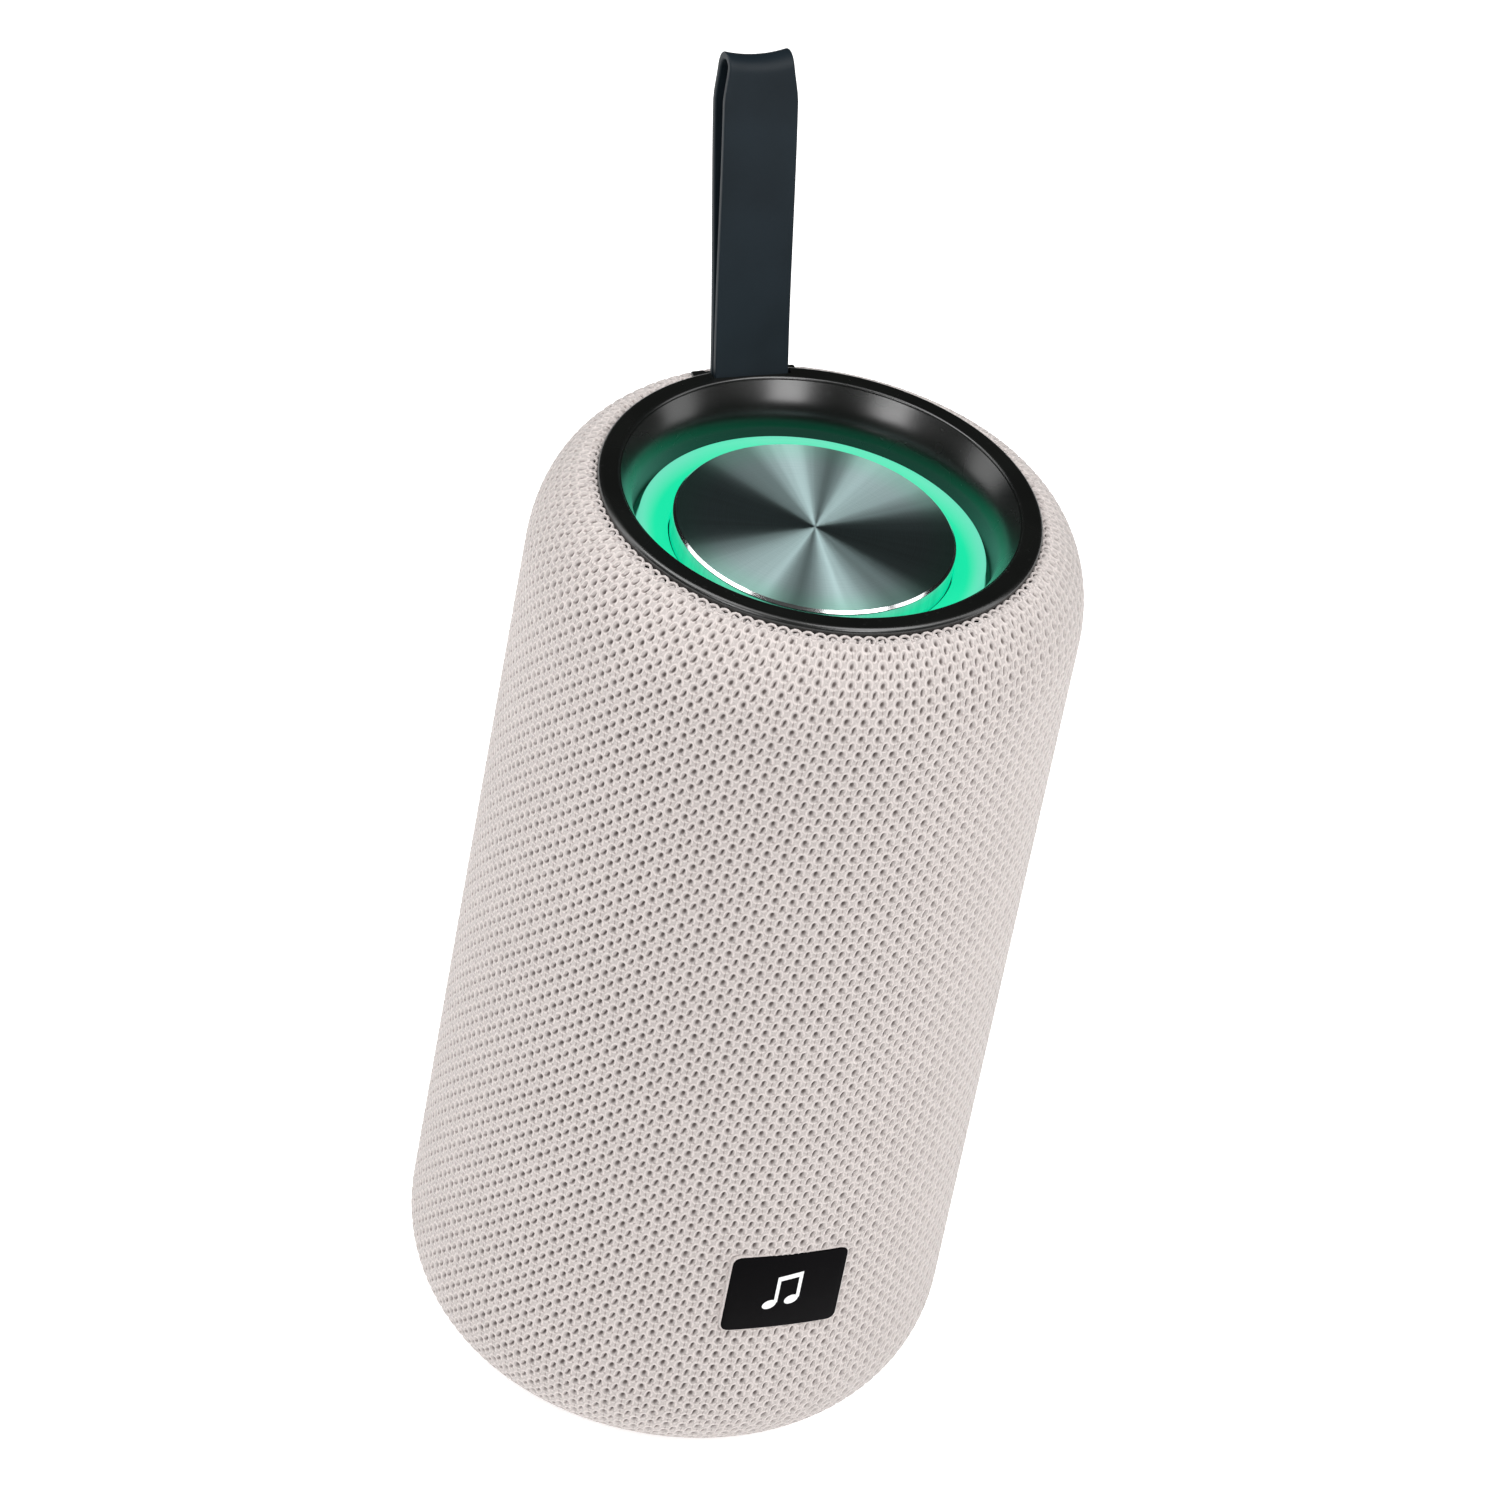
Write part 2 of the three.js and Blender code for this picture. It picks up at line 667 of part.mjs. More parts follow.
// ---------------------------------------------------------------- power and boards
function chassisTube() {
  const { outer, inner, bottom, flange, top, flangeInner } = CHASSIS;
  const profile = [
    [flangeInner, bottom],
    [36.5, bottom],
    [outer, 13],
    [outer, top],
    [inner, top],
    [inner, 13],
    [35.5, flange],
    [flangeInner, flange],
  ];
  const bosses = [];
  const holes = [];
  for (const [x, y] of baseScrewPlaces()) {
    bosses.push(solid(bar(3, bottom, 14.2, x, y, 12)));
    holes.push(solid(bar(1.4, bottom - 1, 15, x, y, 12)));
  }
  const side = POCKET.half + POCKET.wall + 0.4;
  const portGap = solid(block([-side, side], [30, 45], [POCKET.low - 1.6, top + 1]));
  const leadNotch = solid(
    block([36, 44], [-2.2, 2.2], [44, top + 1]).rotateZ(THREE.MathUtils.degToRad(135)),
  );
  const tube = solid(turned(profile, INNER_TURN));
  const body = cut(join(tube, ...bosses), portGap, leadNotch, ...holes);
  return piece('chassis_tube', body, GREY_PLASTIC());
}

function baseScrewPlaces() {
  return [90, 210, 330].map((degrees) => onCircle(BASE_SCREW_CIRCLE, degrees));
}

function mainBoard() {
  const face = 18;
  const back = 19.4;
  const parts = [
    block([-30, 30], [face, back], [13, 51]),
    block([19.5, 27], [face - 4, face + 0.1], [36, 42]), // battery socket
    block([-12.5, -7.5], [back - 0.1, back + 4], [43, 50]), // lower driver socket
    block([7.5, 12.5], [back - 0.1, back + 4], [43, 50]), // upper driver socket
    block([-27, -21], [back - 0.1, back + 4], [36, 41]), // light socket
    block([-16, -2], [face - 1.8, face + 0.1], [20, 36]), // radio module
    block([3, 11], [face - 1.2, face + 0.1], [24, 32]), // amplifier
    block([14, 20], [face - 3.2, face + 0.1], [18, 24]), // coil
    block([14, 20], [face - 3.2, face + 0.1], [26, 32]), // coil
  ];
  return piece('main_board', join(...parts.map(solid)), BOARD());
}

function batteryCell(name, height) {
  const { radius, length, y } = CELL;
  const can = new THREE.CylinderGeometry(radius, radius, length, SMALL_TURN);
  return piece(name, solid(can.rotateZ(Math.PI / 2).translate(0, y, height)), CELL_WRAP());
}

function batteryCradle() {
  const parts = [
    block([-34.8, 34.8], [1.6, 3.4], [15, 52.8]),
    block([-34.8, -33.2], [-15, 1.7], [15, 52.8]),
    block([33.2, 34.8], [-15, 1.7], [15, 52.8]),
  ];
  return piece('battery_cradle', join(...parts.map(solid)), GREY_PLASTIC());
}

// ---------------------------------------------------------------- rear control strip
function buttonHeights() {
  return BUTTON_NAMES.map((_, i) => BUTTON.first + BUTTON.pitch * i);
}

function roundAlongY(radius, near, far, x, z, sides = SMALL_TURN) {
  const cylinder = new THREE.CylinderGeometry(radius, radius, far - near, sides);
  return cylinder.translate(x, (near + far) / 2, z);
}

const PORTS = {
  usb: { z: 46, half: 4.7, rise: 1.7 },
  card: { z: 39.4, half: 5.9, rise: 1.0 },
  audio: { z: 31.4, radius: 3.1 },
};

function controlPanel() {
  const { half, low, high, corner, inner, outer } = PANEL;
  const strip = shellPanel(roundedRectangle(half, low, high, corner), inner, outer, low, high, 1);
  const side = POCKET.half + POCKET.wall;
  const pocket = solid(
    block(
      [-side, side],
      [POCKET.floor - POCKET.wall, inner + 0.6],
      [POCKET.low - POCKET.wall, POCKET.high + POCKET.wall],
    ),
  );
  const room = solid(
    block([-POCKET.half, POCKET.half], [POCKET.floor, outer + 3], [POCKET.low, POCKET.high]),
  );
  const { usb, card, audio } = PORTS;
  const holes = [
    solid(block([-usb.half, usb.half], [36, 41], [usb.z - usb.rise, usb.z + usb.rise])),
    solid(block([-card.half, card.half], [36, 41], [card.z - card.rise, card.z + card.rise])),
    solid(roundAlongY(audio.radius, 36, 41, 0, audio.z, 16)),
    ...buttonHeights().map((z) => solid(roundAlongY(BUTTON.radius + GAP, 40, 52, 0, z))),
  ];
  return piece('control_panel', cut(join(strip, pocket), room, ...holes), BLACK_PLASTIC());
}

// A push button: a round cap in front of a wider retaining collar and a short stem.
function button(name, height) {
  const { radius, face } = BUTTON;
  const profile = [
    [0, 43.8],
    [1.4, 43.8],
    [1.4, 44.0],
    [radius + 1, 44.0],
    [radius + 1, 44.8],
    [radius, 44.8],
    [radius, face - 0.5],
    [radius - 0.5, face],
    [0, face],
  ];
  const body = turned(profile, 12).rotateX(-Math.PI / 2).translate(0, 0, height);
  return piece(name, solid(body), BLACK_RUBBER());
}

function buttonBoard() {
  const parts = [solid(block([-7, 7], [41.2, 42.2], [58, 122]))];
  for (const z of buttonHeights()) {
    parts.push(solid(block([-2.6, 2.6], [42.1, 42.8], [z - 2.6, z + 2.6])));
    parts.push(solid(roundAlongY(1.1, 42.7, 43.1, 0, z, 8)));
  }
  return piece('button_board', join(...parts), BOARD());
}

function portFlap() {
  const { half, pivotY, pivotZ, top, thickness } = FLAP;
  const lid = block([-half, half], [pivotY - thickness / 2, pivotY + thickness / 2], [pivotZ, top]);
  const roll = new THREE.CylinderGeometry(thickness / 2, thickness / 2, 2 * half, 16)
    .rotateZ(Math.PI / 2)
    .translate(0, pivotY, pivotZ);
  const pull = block([-3, 3], [pivotY, pivotY + 1.7], [top - 1.2, top]);
  return piece('port_flap', join(solid(lid), solid(roll), solid(pull)), BLACK_RUBBER());
}

function portBoard() {
  const { usb, card, audio } = PORTS;
  const front = POCKET.floor - GAP;
  const parts = [
    solid(block([-7.5, 7.5], [31.5, 32.7], [27, 50.5])),
    solid(
      block(
        [-usb.half + GAP, usb.half - GAP],
        [32.6, front],
        [usb.z - usb.rise + GAP, usb.z + usb.rise - GAP],
      ),
    ),
    solid(
      block(
        [-card.half + GAP, card.half - GAP],
        [32.6, front],
        [card.z - card.rise + GAP, card.z + card.rise - GAP],
      ),
    ),
    solid(roundAlongY(audio.radius - GAP, 32.6, front, 0, audio.z, 16)),
  ];
  const sockets = [
    solid(block([-3.9, 3.9], [34, front + 1], [usb.z - 0.9, usb.z + 0.9])),
    solid(block([-5.2, 5.2], [34, front + 1], [card.z - 0.4, card.z + 0.4])),
    solid(roundAlongY(1.75, 34, front + 1, 0, audio.z, 12)),
  ];
  return piece('port_board', cut(join(...parts), ...sockets), STEEL());
}

// ---------------------------------------------------------------- base and label
function basePlate() {
  const { neck, recess, recessTop, bottom, flange, flangeLow, top } = BASE;
  const profile = [
    [0, recessTop],
    [recess, recessTop],
    [recess, bottom],
    [neck, bottom],
    [neck, flangeLow],
    [flange, flangeLow],
    [flange, top],
    [0, top],
  ];
  const holes = baseScrewPlaces().flatMap(([x, y]) => [
    solid(bar(2.6, recessTop - 1, 4.8, x, y, 12)),
    solid(bar(1.4, recessTop - 1, top + 1, x, y, 12)),
  ]);
  return piece('base_plate', cut(solid(turned(profile)), ...holes), BLACK_PLASTIC());
}

function baseScrews() {
  return baseScrewPlaces().map(([x, y], i) => {
    const head = solid(bar(2.2, 3.0, 4.4, x, y, 8));
    const shank = solid(bar(1.1, 4.3, 13.4, x, y, 6));
    return piece(`base_screw_${i + 1}`, join(head, shank), STEEL());
  });
}

function footPad() {
  const { radius, height, chamfer } = FOOT;
  const profile = [
    [0, 0],
    [radius - chamfer, 0],
    [radius, chamfer],
    [radius, height],
    [0, height],
  ];
  return piece('foot_pad', solid(turned(profile)), BLACK_RUBBER());
}

function labelPlate() {
  const { half, low, high, corner, inner, outer } = LABEL;
  const shape = roundedRectangle(half, low, high, corner);
  return piece('label_plate', shellPanel(shape, inner, outer, low, high, -1), BLACK_PLASTIC());
}

// ---------------------------------------------------------------- wires inside
function wires() {
  const ringRadius = 42.6;
  const outside = (radius, z) => [...onCircle(radius, 135), z];
  return [
    wire('battery_lead', [[25, 4.0, 40], [26, 7.5, 41.5], [24.2, 10.5, 40], [23.3, 13.2, 39]], 6),
    wire(
      'lower_driver_lead',
      [[-10, 24.2, 46.8], [-10.2, 26, 49.5], [-10, 26, 54.6], [-10, 25, 60],
        [-14, 12, 68], [-16, -8, 77], [-15.4, -22.5, 81.4]],
      16,
    ),
    wire(
      'upper_driver_lead',
      [[10, 24.2, 46.8], [10.2, 26, 49.5], [10, 26, 54.6], [10, 25, 62],
        [19, 20, 92], [19, 4, 118], [15.4, -22.5, 131.4]],
      20,
    ),
    wire(
      'led_lead',
      [[-24, 24.6, 39], outside(37.2, 44.5), outside(41.4, 50), outside(ringRadius, 56),
        outside(ringRadius, 90), outside(ringRadius, 125), outside(ringRadius, 156),
        outside(42.4, 160.6), outside(40.3, 162.3), outside(35, 162.15),
        outside(30.4, 162.1), outside(29.05, 163), outside(29, 164.8)],
      30,
    ),
  ];
}

// ---------------------------------------------------------------- whole speaker
const speaker = new THREE.Group();
speaker.add(fabricSleeve(), grilleCage(), topRing(), strapRoot(), strapLoop());
speaker.add(piece('strap_pin', pinBar(PIN_RADIUS, 2 * BRACKET.halfWidth - 2.6), STEEL()));
speaker.add(lightRing(), lightReflector(), ledBoard());
speaker.add(radiatorCap(), radiatorPiston(), radiatorSurround(), radiatorFrame());
speaker.add(soundChamber(), chamberFloor());
speaker.add(driver('lower_driver', DRIVER.lower), driver('upper_driver', DRIVER.upper));
speaker.add(...ringScrews());
speaker.add(chassisTube(), mainBoard(), batteryCradle());
speaker.add(batteryCell('battery_cell_lower', CELL.low), batteryCell('battery_cell_upper', CELL.high));
speaker.add(controlPanel(), buttonBoard(), portFlap(), portBoard());
buttonHeights().forEach((z, i) => speaker.add(button(BUTTON_NAMES[i], z)));
speaker.add(basePlate(), ...baseScrews(), footPad(), labelPlate());
speaker.add(...wires());

export default speaker;
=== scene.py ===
# Portable cylinder speaker: knitted sleeve, glowing ring, spun metal cap and strap.
# Everything is in metres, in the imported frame: +Z up, label at -Y, strap at +Y.
import json
import math

import bmesh
import bpy
import numpy as np
from mathutils import Matrix, Vector


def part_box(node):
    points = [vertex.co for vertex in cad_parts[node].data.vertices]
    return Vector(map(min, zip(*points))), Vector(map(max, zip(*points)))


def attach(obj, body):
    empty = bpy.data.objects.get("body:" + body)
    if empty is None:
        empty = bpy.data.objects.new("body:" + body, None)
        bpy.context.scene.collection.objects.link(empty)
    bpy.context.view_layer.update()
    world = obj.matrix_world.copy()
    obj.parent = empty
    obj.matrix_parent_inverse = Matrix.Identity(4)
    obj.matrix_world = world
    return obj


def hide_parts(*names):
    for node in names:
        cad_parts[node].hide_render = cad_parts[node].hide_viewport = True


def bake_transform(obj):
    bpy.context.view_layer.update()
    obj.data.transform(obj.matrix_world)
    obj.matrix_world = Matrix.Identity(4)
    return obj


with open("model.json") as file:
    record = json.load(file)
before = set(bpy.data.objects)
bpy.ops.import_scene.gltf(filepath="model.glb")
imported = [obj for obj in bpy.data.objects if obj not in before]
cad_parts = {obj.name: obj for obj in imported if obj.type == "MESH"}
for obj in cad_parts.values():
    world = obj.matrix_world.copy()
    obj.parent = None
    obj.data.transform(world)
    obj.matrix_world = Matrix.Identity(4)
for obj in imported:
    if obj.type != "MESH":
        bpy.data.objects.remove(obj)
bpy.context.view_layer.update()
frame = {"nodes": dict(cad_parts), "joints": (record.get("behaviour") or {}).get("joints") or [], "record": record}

# ------------------------------------------------------------------ sizes
MM = 0.001
sleeve_low, sleeve_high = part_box("fabric_sleeve")
_, ring_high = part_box("top_ring")
cap_low, cap_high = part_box("radiator_cap")
light_low, light_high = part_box("light_ring")
label_low, label_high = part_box("label_plate")
panel_low, panel_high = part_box("control_panel")
_, flap_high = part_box("port_flap")
_, foot_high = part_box("foot_pad")
base_low, base_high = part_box("base_plate")
strap_low, strap_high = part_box("strap_loop")
strap_joint = next(joint for joint in frame["joints"] if joint["name"] == "strap_swing")

BODY_RADIUS = sleeve_high.x
BODY_BOTTOM = sleeve_low.z
RING_OUTER = ring_high.x
RING_TOP = ring_high.z
CAP_RADIUS = cap_high.x
CAP_TOP = cap_high.z
STRAP_WIDTH = strap_high.x - strap_low.x
STRAP_LEAN = math.radians(22)
BEND = Vector(strap_joint["pos_m"])

# Outline of the sleeve
BOTTOM_FLAT = 29.5 * MM
BOTTOM_RISE = 21.0 * MM
SHOULDER_START = 163.3 * MM
SHOULDER_RISE = 17.0 * MM

# Knit lattice, in half columns and rows. Round and tall holes take turns, row by row
COLUMNS = 102
AROUND = 2 * COLUMNS
ROW_PITCH = 1.55 * MM
HOLE_DEPTH = 0.75 * MM
CREST = 0.17 * MM
ROUND_ARCH = (0.50, 0.56)
TALL_ARCH = (0.37, 0.60)
ARCH_LEAN = 0.16
ARCH_LIFT = 0.05

# Bracket for the strap's root, at the back of the ring
BRACKET_HALF = 9.5 * MM
BRACKET_FRONT = 36.3 * MM
BRACKET_BOTTOM = 176.0 * MM
BRACKET_TOP = 180.3 * MM
SILL_FRONT = 37.4 * MM
SILL_TOP = 179.9 * MM
SLOT_SIDE = STRAP_WIDTH / 2 + 0.4 * MM

# Label plate: flatter than the body, and a little taller than its seat
LABEL_BEND = 120 * MM
LABEL_PROUD = 0.15 * MM
LABEL_EXTRA = 0.9 * MM
NOTE_SIZE = 6.2 * MM

# Rear strip
BAY_HALF = 7.5 * MM
BAY_LOW = 25.4 * MM
BAY_HIGH = 51.6 * MM
BUTTON_HOLE = 4.6 * MM
BUTTON_RADIUS = 4.3 * MM

ROUND_SIDES = 192
SMALL_SIDES = 64


# ------------------------------------------------------------------ node helpers
class Graph:
    """A node tree that is written as a chain of small sums."""

    def __init__(self, tree):
        self.tree = tree

    def node(self, kind, inputs=None, **settings):
        made = self.tree.nodes.new(kind)
        for name, value in settings.items():
            setattr(made, name, value)
        for name, value in (inputs or {}).items():
            self.feed(value, made.inputs[name])
        return made

    def feed(self, value, socket):
        if isinstance(value, bpy.types.NodeSocket):
            self.tree.links.new(value, socket)
        else:
            socket.default_value = value

    def math(self, operation, first, second=0.0, third=0.0):
        made = self.node("ShaderNodeMath", operation=operation)
        for value, socket in zip((first, second, third), made.inputs):
            self.feed(value, socket)
        return made.outputs[0]

    def blend(self, factor, first, second):
        made = self.node("ShaderNodeMix", data_type="RGBA")
        self.feed(factor, made.inputs[0])
        self.feed(first, made.inputs[6])
        self.feed(second, made.inputs[7])
        return made.outputs[2]

    def ramp(self, value, low, high, start=0.0, end=1.0):
        made = self.node("ShaderNodeMapRange", interpolation_type="SMOOTHSTEP")
        for item, socket in zip((value, low, high, start, end), made.inputs):
            self.feed(item, socket)
        return made.outputs[0]

    def noise(self, vector, scale, detail=2.0, roughness=0.5):
        made = self.node(
            "ShaderNodeTexNoise",
            {"Vector": vector, "Scale": scale, "Detail": detail, "Roughness": roughness},
        )
        return made.outputs["Fac"]

    def split(self, vector):
        return self.node("ShaderNodeSeparateXYZ", {"Vector": vector}).outputs

    def joined(self, x, y, z=0.0):
        return self.node("ShaderNodeCombineXYZ", {"X": x, "Y": y, "Z": z}).outputs[0]


def shader_group(name, inputs, outputs, build):
    """A node group. Inputs are (name, socket type, start value) and outputs (name, type)."""
    tree = bpy.data.node_groups.new(name, "ShaderNodeTree")
    for label, kind, start in inputs:
        socket = tree.interface.new_socket(label, in_out="INPUT", socket_type=kind)
        if start is not None:
            socket.default_value = start
    for label, kind in outputs:
        tree.interface.new_socket(label, in_out="OUTPUT", socket_type=kind)
    graph = Graph(tree)
    given = graph.node("NodeGroupInput").outputs
    result = graph.node("NodeGroupOutput")
    for label, socket in build(graph, given).items():
        graph.feed(socket, result.inputs[label])
    return tree


FLOAT, VECTOR = "NodeSocketFloat", "NodeSocketVector"


def build_grain(graph, given):
    """Fine moulded grain, slow cloudy variation and a little dust in one place."""
    fine = graph.noise(given["Vector"], given["Grain scale"], 3.0, 0.6)
    cloud = graph.noise(given["Vector"], given["Cloud scale"], 2.0)
    dots = graph.noise(given["Vector"], given["Dust scale"], 1.0, 0.4)
    dust = graph.ramp(dots, 0.70, 0.76)
    centred = graph.math("SUBTRACT", cloud, 0.5)
    return {
        "Height": fine,
        "Cloud": centred,
        "Dust": graph.math("MULTIPLY", dust, given["Dust amount"]),
    }


GRAIN = shader_group(
    "moulded_grain",
    [
        ("Vector", VECTOR, None),
        ("Grain scale", FLOAT, 3000.0),
        ("Cloud scale", FLOAT, 60.0),
        ("Dust scale", FLOAT, 900.0),
        ("Dust amount", FLOAT, 0.0),
    ],
    [("Height", FLOAT), ("Cloud", FLOAT), ("Dust", FLOAT)],
    build_grain,
)


def build_edge_wear(graph, given):
    """Convex edges, where handling rubs a finish brighter."""
    geometry = graph.node("ShaderNodeNewGeometry")
    edge = graph.ramp(geometry.outputs["Pointiness"], 0.52, 0.60)
    patchy = graph.noise(given["Vector"], 240.0, 2.0)
    worn = graph.math("MULTIPLY", edge, graph.ramp(patchy, 0.35, 0.65))
    return {"Mask": graph.math("MULTIPLY", worn, given["Amount"])}


EDGE_WEAR = shader_group(
    "edge_wear",
    [("Vector", VECTOR, None), ("Amount", FLOAT, 0.3)],
    [("Mask", FLOAT)],
    build_edge_wear,
)


def oval(graph, place, centre, half, lean=0.0):
    """Distance from the nearest repeat of an oval, 1 on its edge. All sizes are in repeats."""
    near = []
    for coordinate, middle in zip(place, centre):
        turned = graph.math("FRACT", graph.math("ADD", coordinate, 0.5 - middle))
        near.append(graph.math("SUBTRACT", turned, 0.5))
    leaned = graph.math("SUBTRACT", near[0], graph.math("MULTIPLY", near[1], lean))
    wide = graph.math("POWER", graph.math("ABSOLUTE", graph.math("DIVIDE", leaned, half[0])), 2.0)
    tall = graph.math("POWER", graph.math("ABSOLUTE", graph.math("DIVIDE", near[1], half[1])), 2.0)
    return graph.math("SQRT", graph.math("ADD", wide, tall))


def build_knit(graph, given):
    """Rows of round and of tall leaning holes, each under an arch of yarn."""
    flat = graph.split(given["Lattice"])
    wobble = graph.math("SUBTRACT", graph.noise(given["Lattice"], 1.9, 1.0), 0.5)
    place = (
        graph.math("ADD", flat[0], graph.math("MULTIPLY", wobble, 0.14)),
        graph.math("ADD", flat[1], graph.math("MULTIPLY", wobble, 0.08)),
    )
    round_hole = oval(graph, place, (0.0, 0.0), (0.135, 0.180), 0.22)
    tall_hole = oval(graph, place, (0.5, 0.5), (0.085, 0.225), 0.34)
    nearest = graph.math("MINIMUM", round_hole, tall_hole)
    spots = (
        oval(graph, place, (0.205, -0.165), (0.085, 0.085)),
        oval(graph, place, (0.675, 0.335), (0.060, 0.090)),
        oval(graph, place, (0.345, 0.345), (0.065, 0.080)),
        oval(graph, place, (0.020, -0.460), (0.045, 0.200)),
    )
    shallow = spots[0]
    for spot in spots[1:]:
        shallow = graph.math("MINIMUM", shallow, spot)
    ring_round = oval(graph, place, (0.0, 0.02), (0.29, 0.33), 0.10)
    ring_tall = oval(graph, place, (0.5, 0.54), (0.215, 0.30), 0.16)
    crests = []
    for ring in (ring_round, ring_tall):
        away = graph.math("ABSOLUTE", graph.math("SUBTRACT", ring, 1.0))
        crests.append(graph.ramp(away, 0.0, given["Yarn width"], 1.0, 0.0))
    return {
        "Hole": graph.ramp(nearest, 1.30, 0.35),
        "Shallow": graph.ramp(shallow, 1.45, 0.25),
        "Rim": graph.math("MAXIMUM", *crests),
    }


KNIT = shader_group(
    "knit_stitches",
    [("Lattice", VECTOR, None), ("Yarn width", FLOAT, 0.36)],
    [("Hole", FLOAT), ("Shallow", FLOAT), ("Rim", FLOAT)],
    build_knit,
)


def build_yarn(graph, given):
    """Twisted yarn plies and loose fibres, finer than the stitches."""
    place = graph.split(given["Lattice"])
    slanted = graph.math("ADD", place[0], graph.math("MULTIPLY", place[1], 0.35))
    plies = graph.math("SINE", graph.math("MULTIPLY", slanted, given["Plies"]))
    stretched = graph.joined(
        graph.math("MULTIPLY", place[0], 15.0), graph.math("MULTIPLY", place[1], 9.0)
    )
    fibres = graph.noise(stretched, 1.0, 4.0, 0.7)
    both = graph.math("ADD", graph.math("MULTIPLY", plies, 0.12), fibres)
    return {"Height": both, "Fibres": graph.math("SUBTRACT", fibres, 0.5)}


YARN = shader_group(
    "yarn_fibres",
    [("Lattice", VECTOR, None), ("Plies", FLOAT, 44.0)],
    [("Height", FLOAT), ("Fibres", FLOAT)],
    build_yarn,
)


def build_spun(graph, given):
    """Concentric lathe marks round Z and faint streaks across them."""
    place = graph.split(given["Vector"])
    radius = graph.math(
        "SQRT",
        graph.math(
            "ADD", graph.math("POWER", place[0], 2.0), graph.math("POWER", place[1], 2.0)
        ),
    )
    lines = graph.noise(graph.joined(graph.math("MULTIPLY", radius, given["Lines"]), 0.0), 1.0, 3.0)
    angle = graph.math("ARCTAN2", place[1], place[0])
    circle = graph.joined(graph.math("COSINE", angle), graph.math("SINE", angle))
    streaks = graph.noise(circle, given["Streaks"], 4.0, 0.7)
    return {
        "Lines": graph.math("SUBTRACT", lines, 0.5),
        "Streaks": graph.math("SUBTRACT", streaks, 0.5),
        "Radius": radius,
    }


SPUN = shader_group(
    "spun_marks",
    [("Vector", VECTOR, None), ("Lines", FLOAT, 9000.0), ("Streaks", FLOAT, 9.0)],
    [("Lines", FLOAT), ("Streaks", FLOAT), ("Radius", FLOAT)],
    build_spun,
)


# ------------------------------------------------------------------ finishes
def new_material(name):
    made = bpy.data.materials.new(name)
    made.use_nodes = True
    graph = Graph(made.node_tree)
    shader = made.node_tree.nodes["Principled BSDF"]
    place = graph.node("ShaderNodeTexCoord").outputs["Object"]
    return made, graph, shader, place


def scaled(colour, factor):
    return tuple(min(1.0, channel * factor) for channel in colour) + (1.0,)


def bump(graph, shader, height, strength, distance):
    made = graph.node("ShaderNodeBump", {"Height": height, "Strength": strength})
    made.inputs["Distance"].default_value = distance
    graph.feed(made.outputs[0], shader.inputs["Normal"])


def moulded(name, colour, roughness, grain=3000.0, relief=0.012, metallic=0.0,
            specular=0.5, dust=0.0, wear=0.0, cloud=0.10):
    """Plastic, rubber, board or plated metal with its own grain, dust and edge wear."""
    made, graph, shader, place = new_material(name)
    grained = graph.node("ShaderNodeGroup", node_tree=GRAIN)
    for label, value in (("Vector", place), ("Grain scale", grain), ("Dust amount", dust)):
        graph.feed(value, grained.inputs[label])
    cloudy = grained.outputs["Cloud"]
    lift = graph.ramp(cloudy, -0.25, 0.25)
    body = graph.blend(lift, scaled(colour, 1.0 - cloud), scaled(colour, 1.0 + 1.6 * cloud))
    dusted = graph.blend(grained.outputs["Dust"], body, (0.35, 0.35, 0.35, 1.0))
    if wear:
        rubbed = graph.node("ShaderNodeGroup", node_tree=EDGE_WEAR)
        graph.feed(place, rubbed.inputs["Vector"])
        graph.feed(wear, rubbed.inputs["Amount"])
        pale = tuple(0.5 * channel + 0.06 for channel in colour) + (1.0,)
        dusted = graph.blend(rubbed.outputs["Mask"], dusted, pale)
    graph.feed(dusted, shader.inputs["Base Color"])
    rough = graph.math("ADD", graph.math("MULTIPLY", cloudy, 0.18), roughness)
    graph.feed(graph.math("ADD", rough, grained.outputs["Dust"]), shader.inputs["Roughness"])
    shader.inputs["Metallic"].default_value = metallic
    shader.inputs["Specular IOR Level"].default_value = specular
    bump(graph, shader, grained.outputs["Height"], 0.35, relief * MM)
    return made


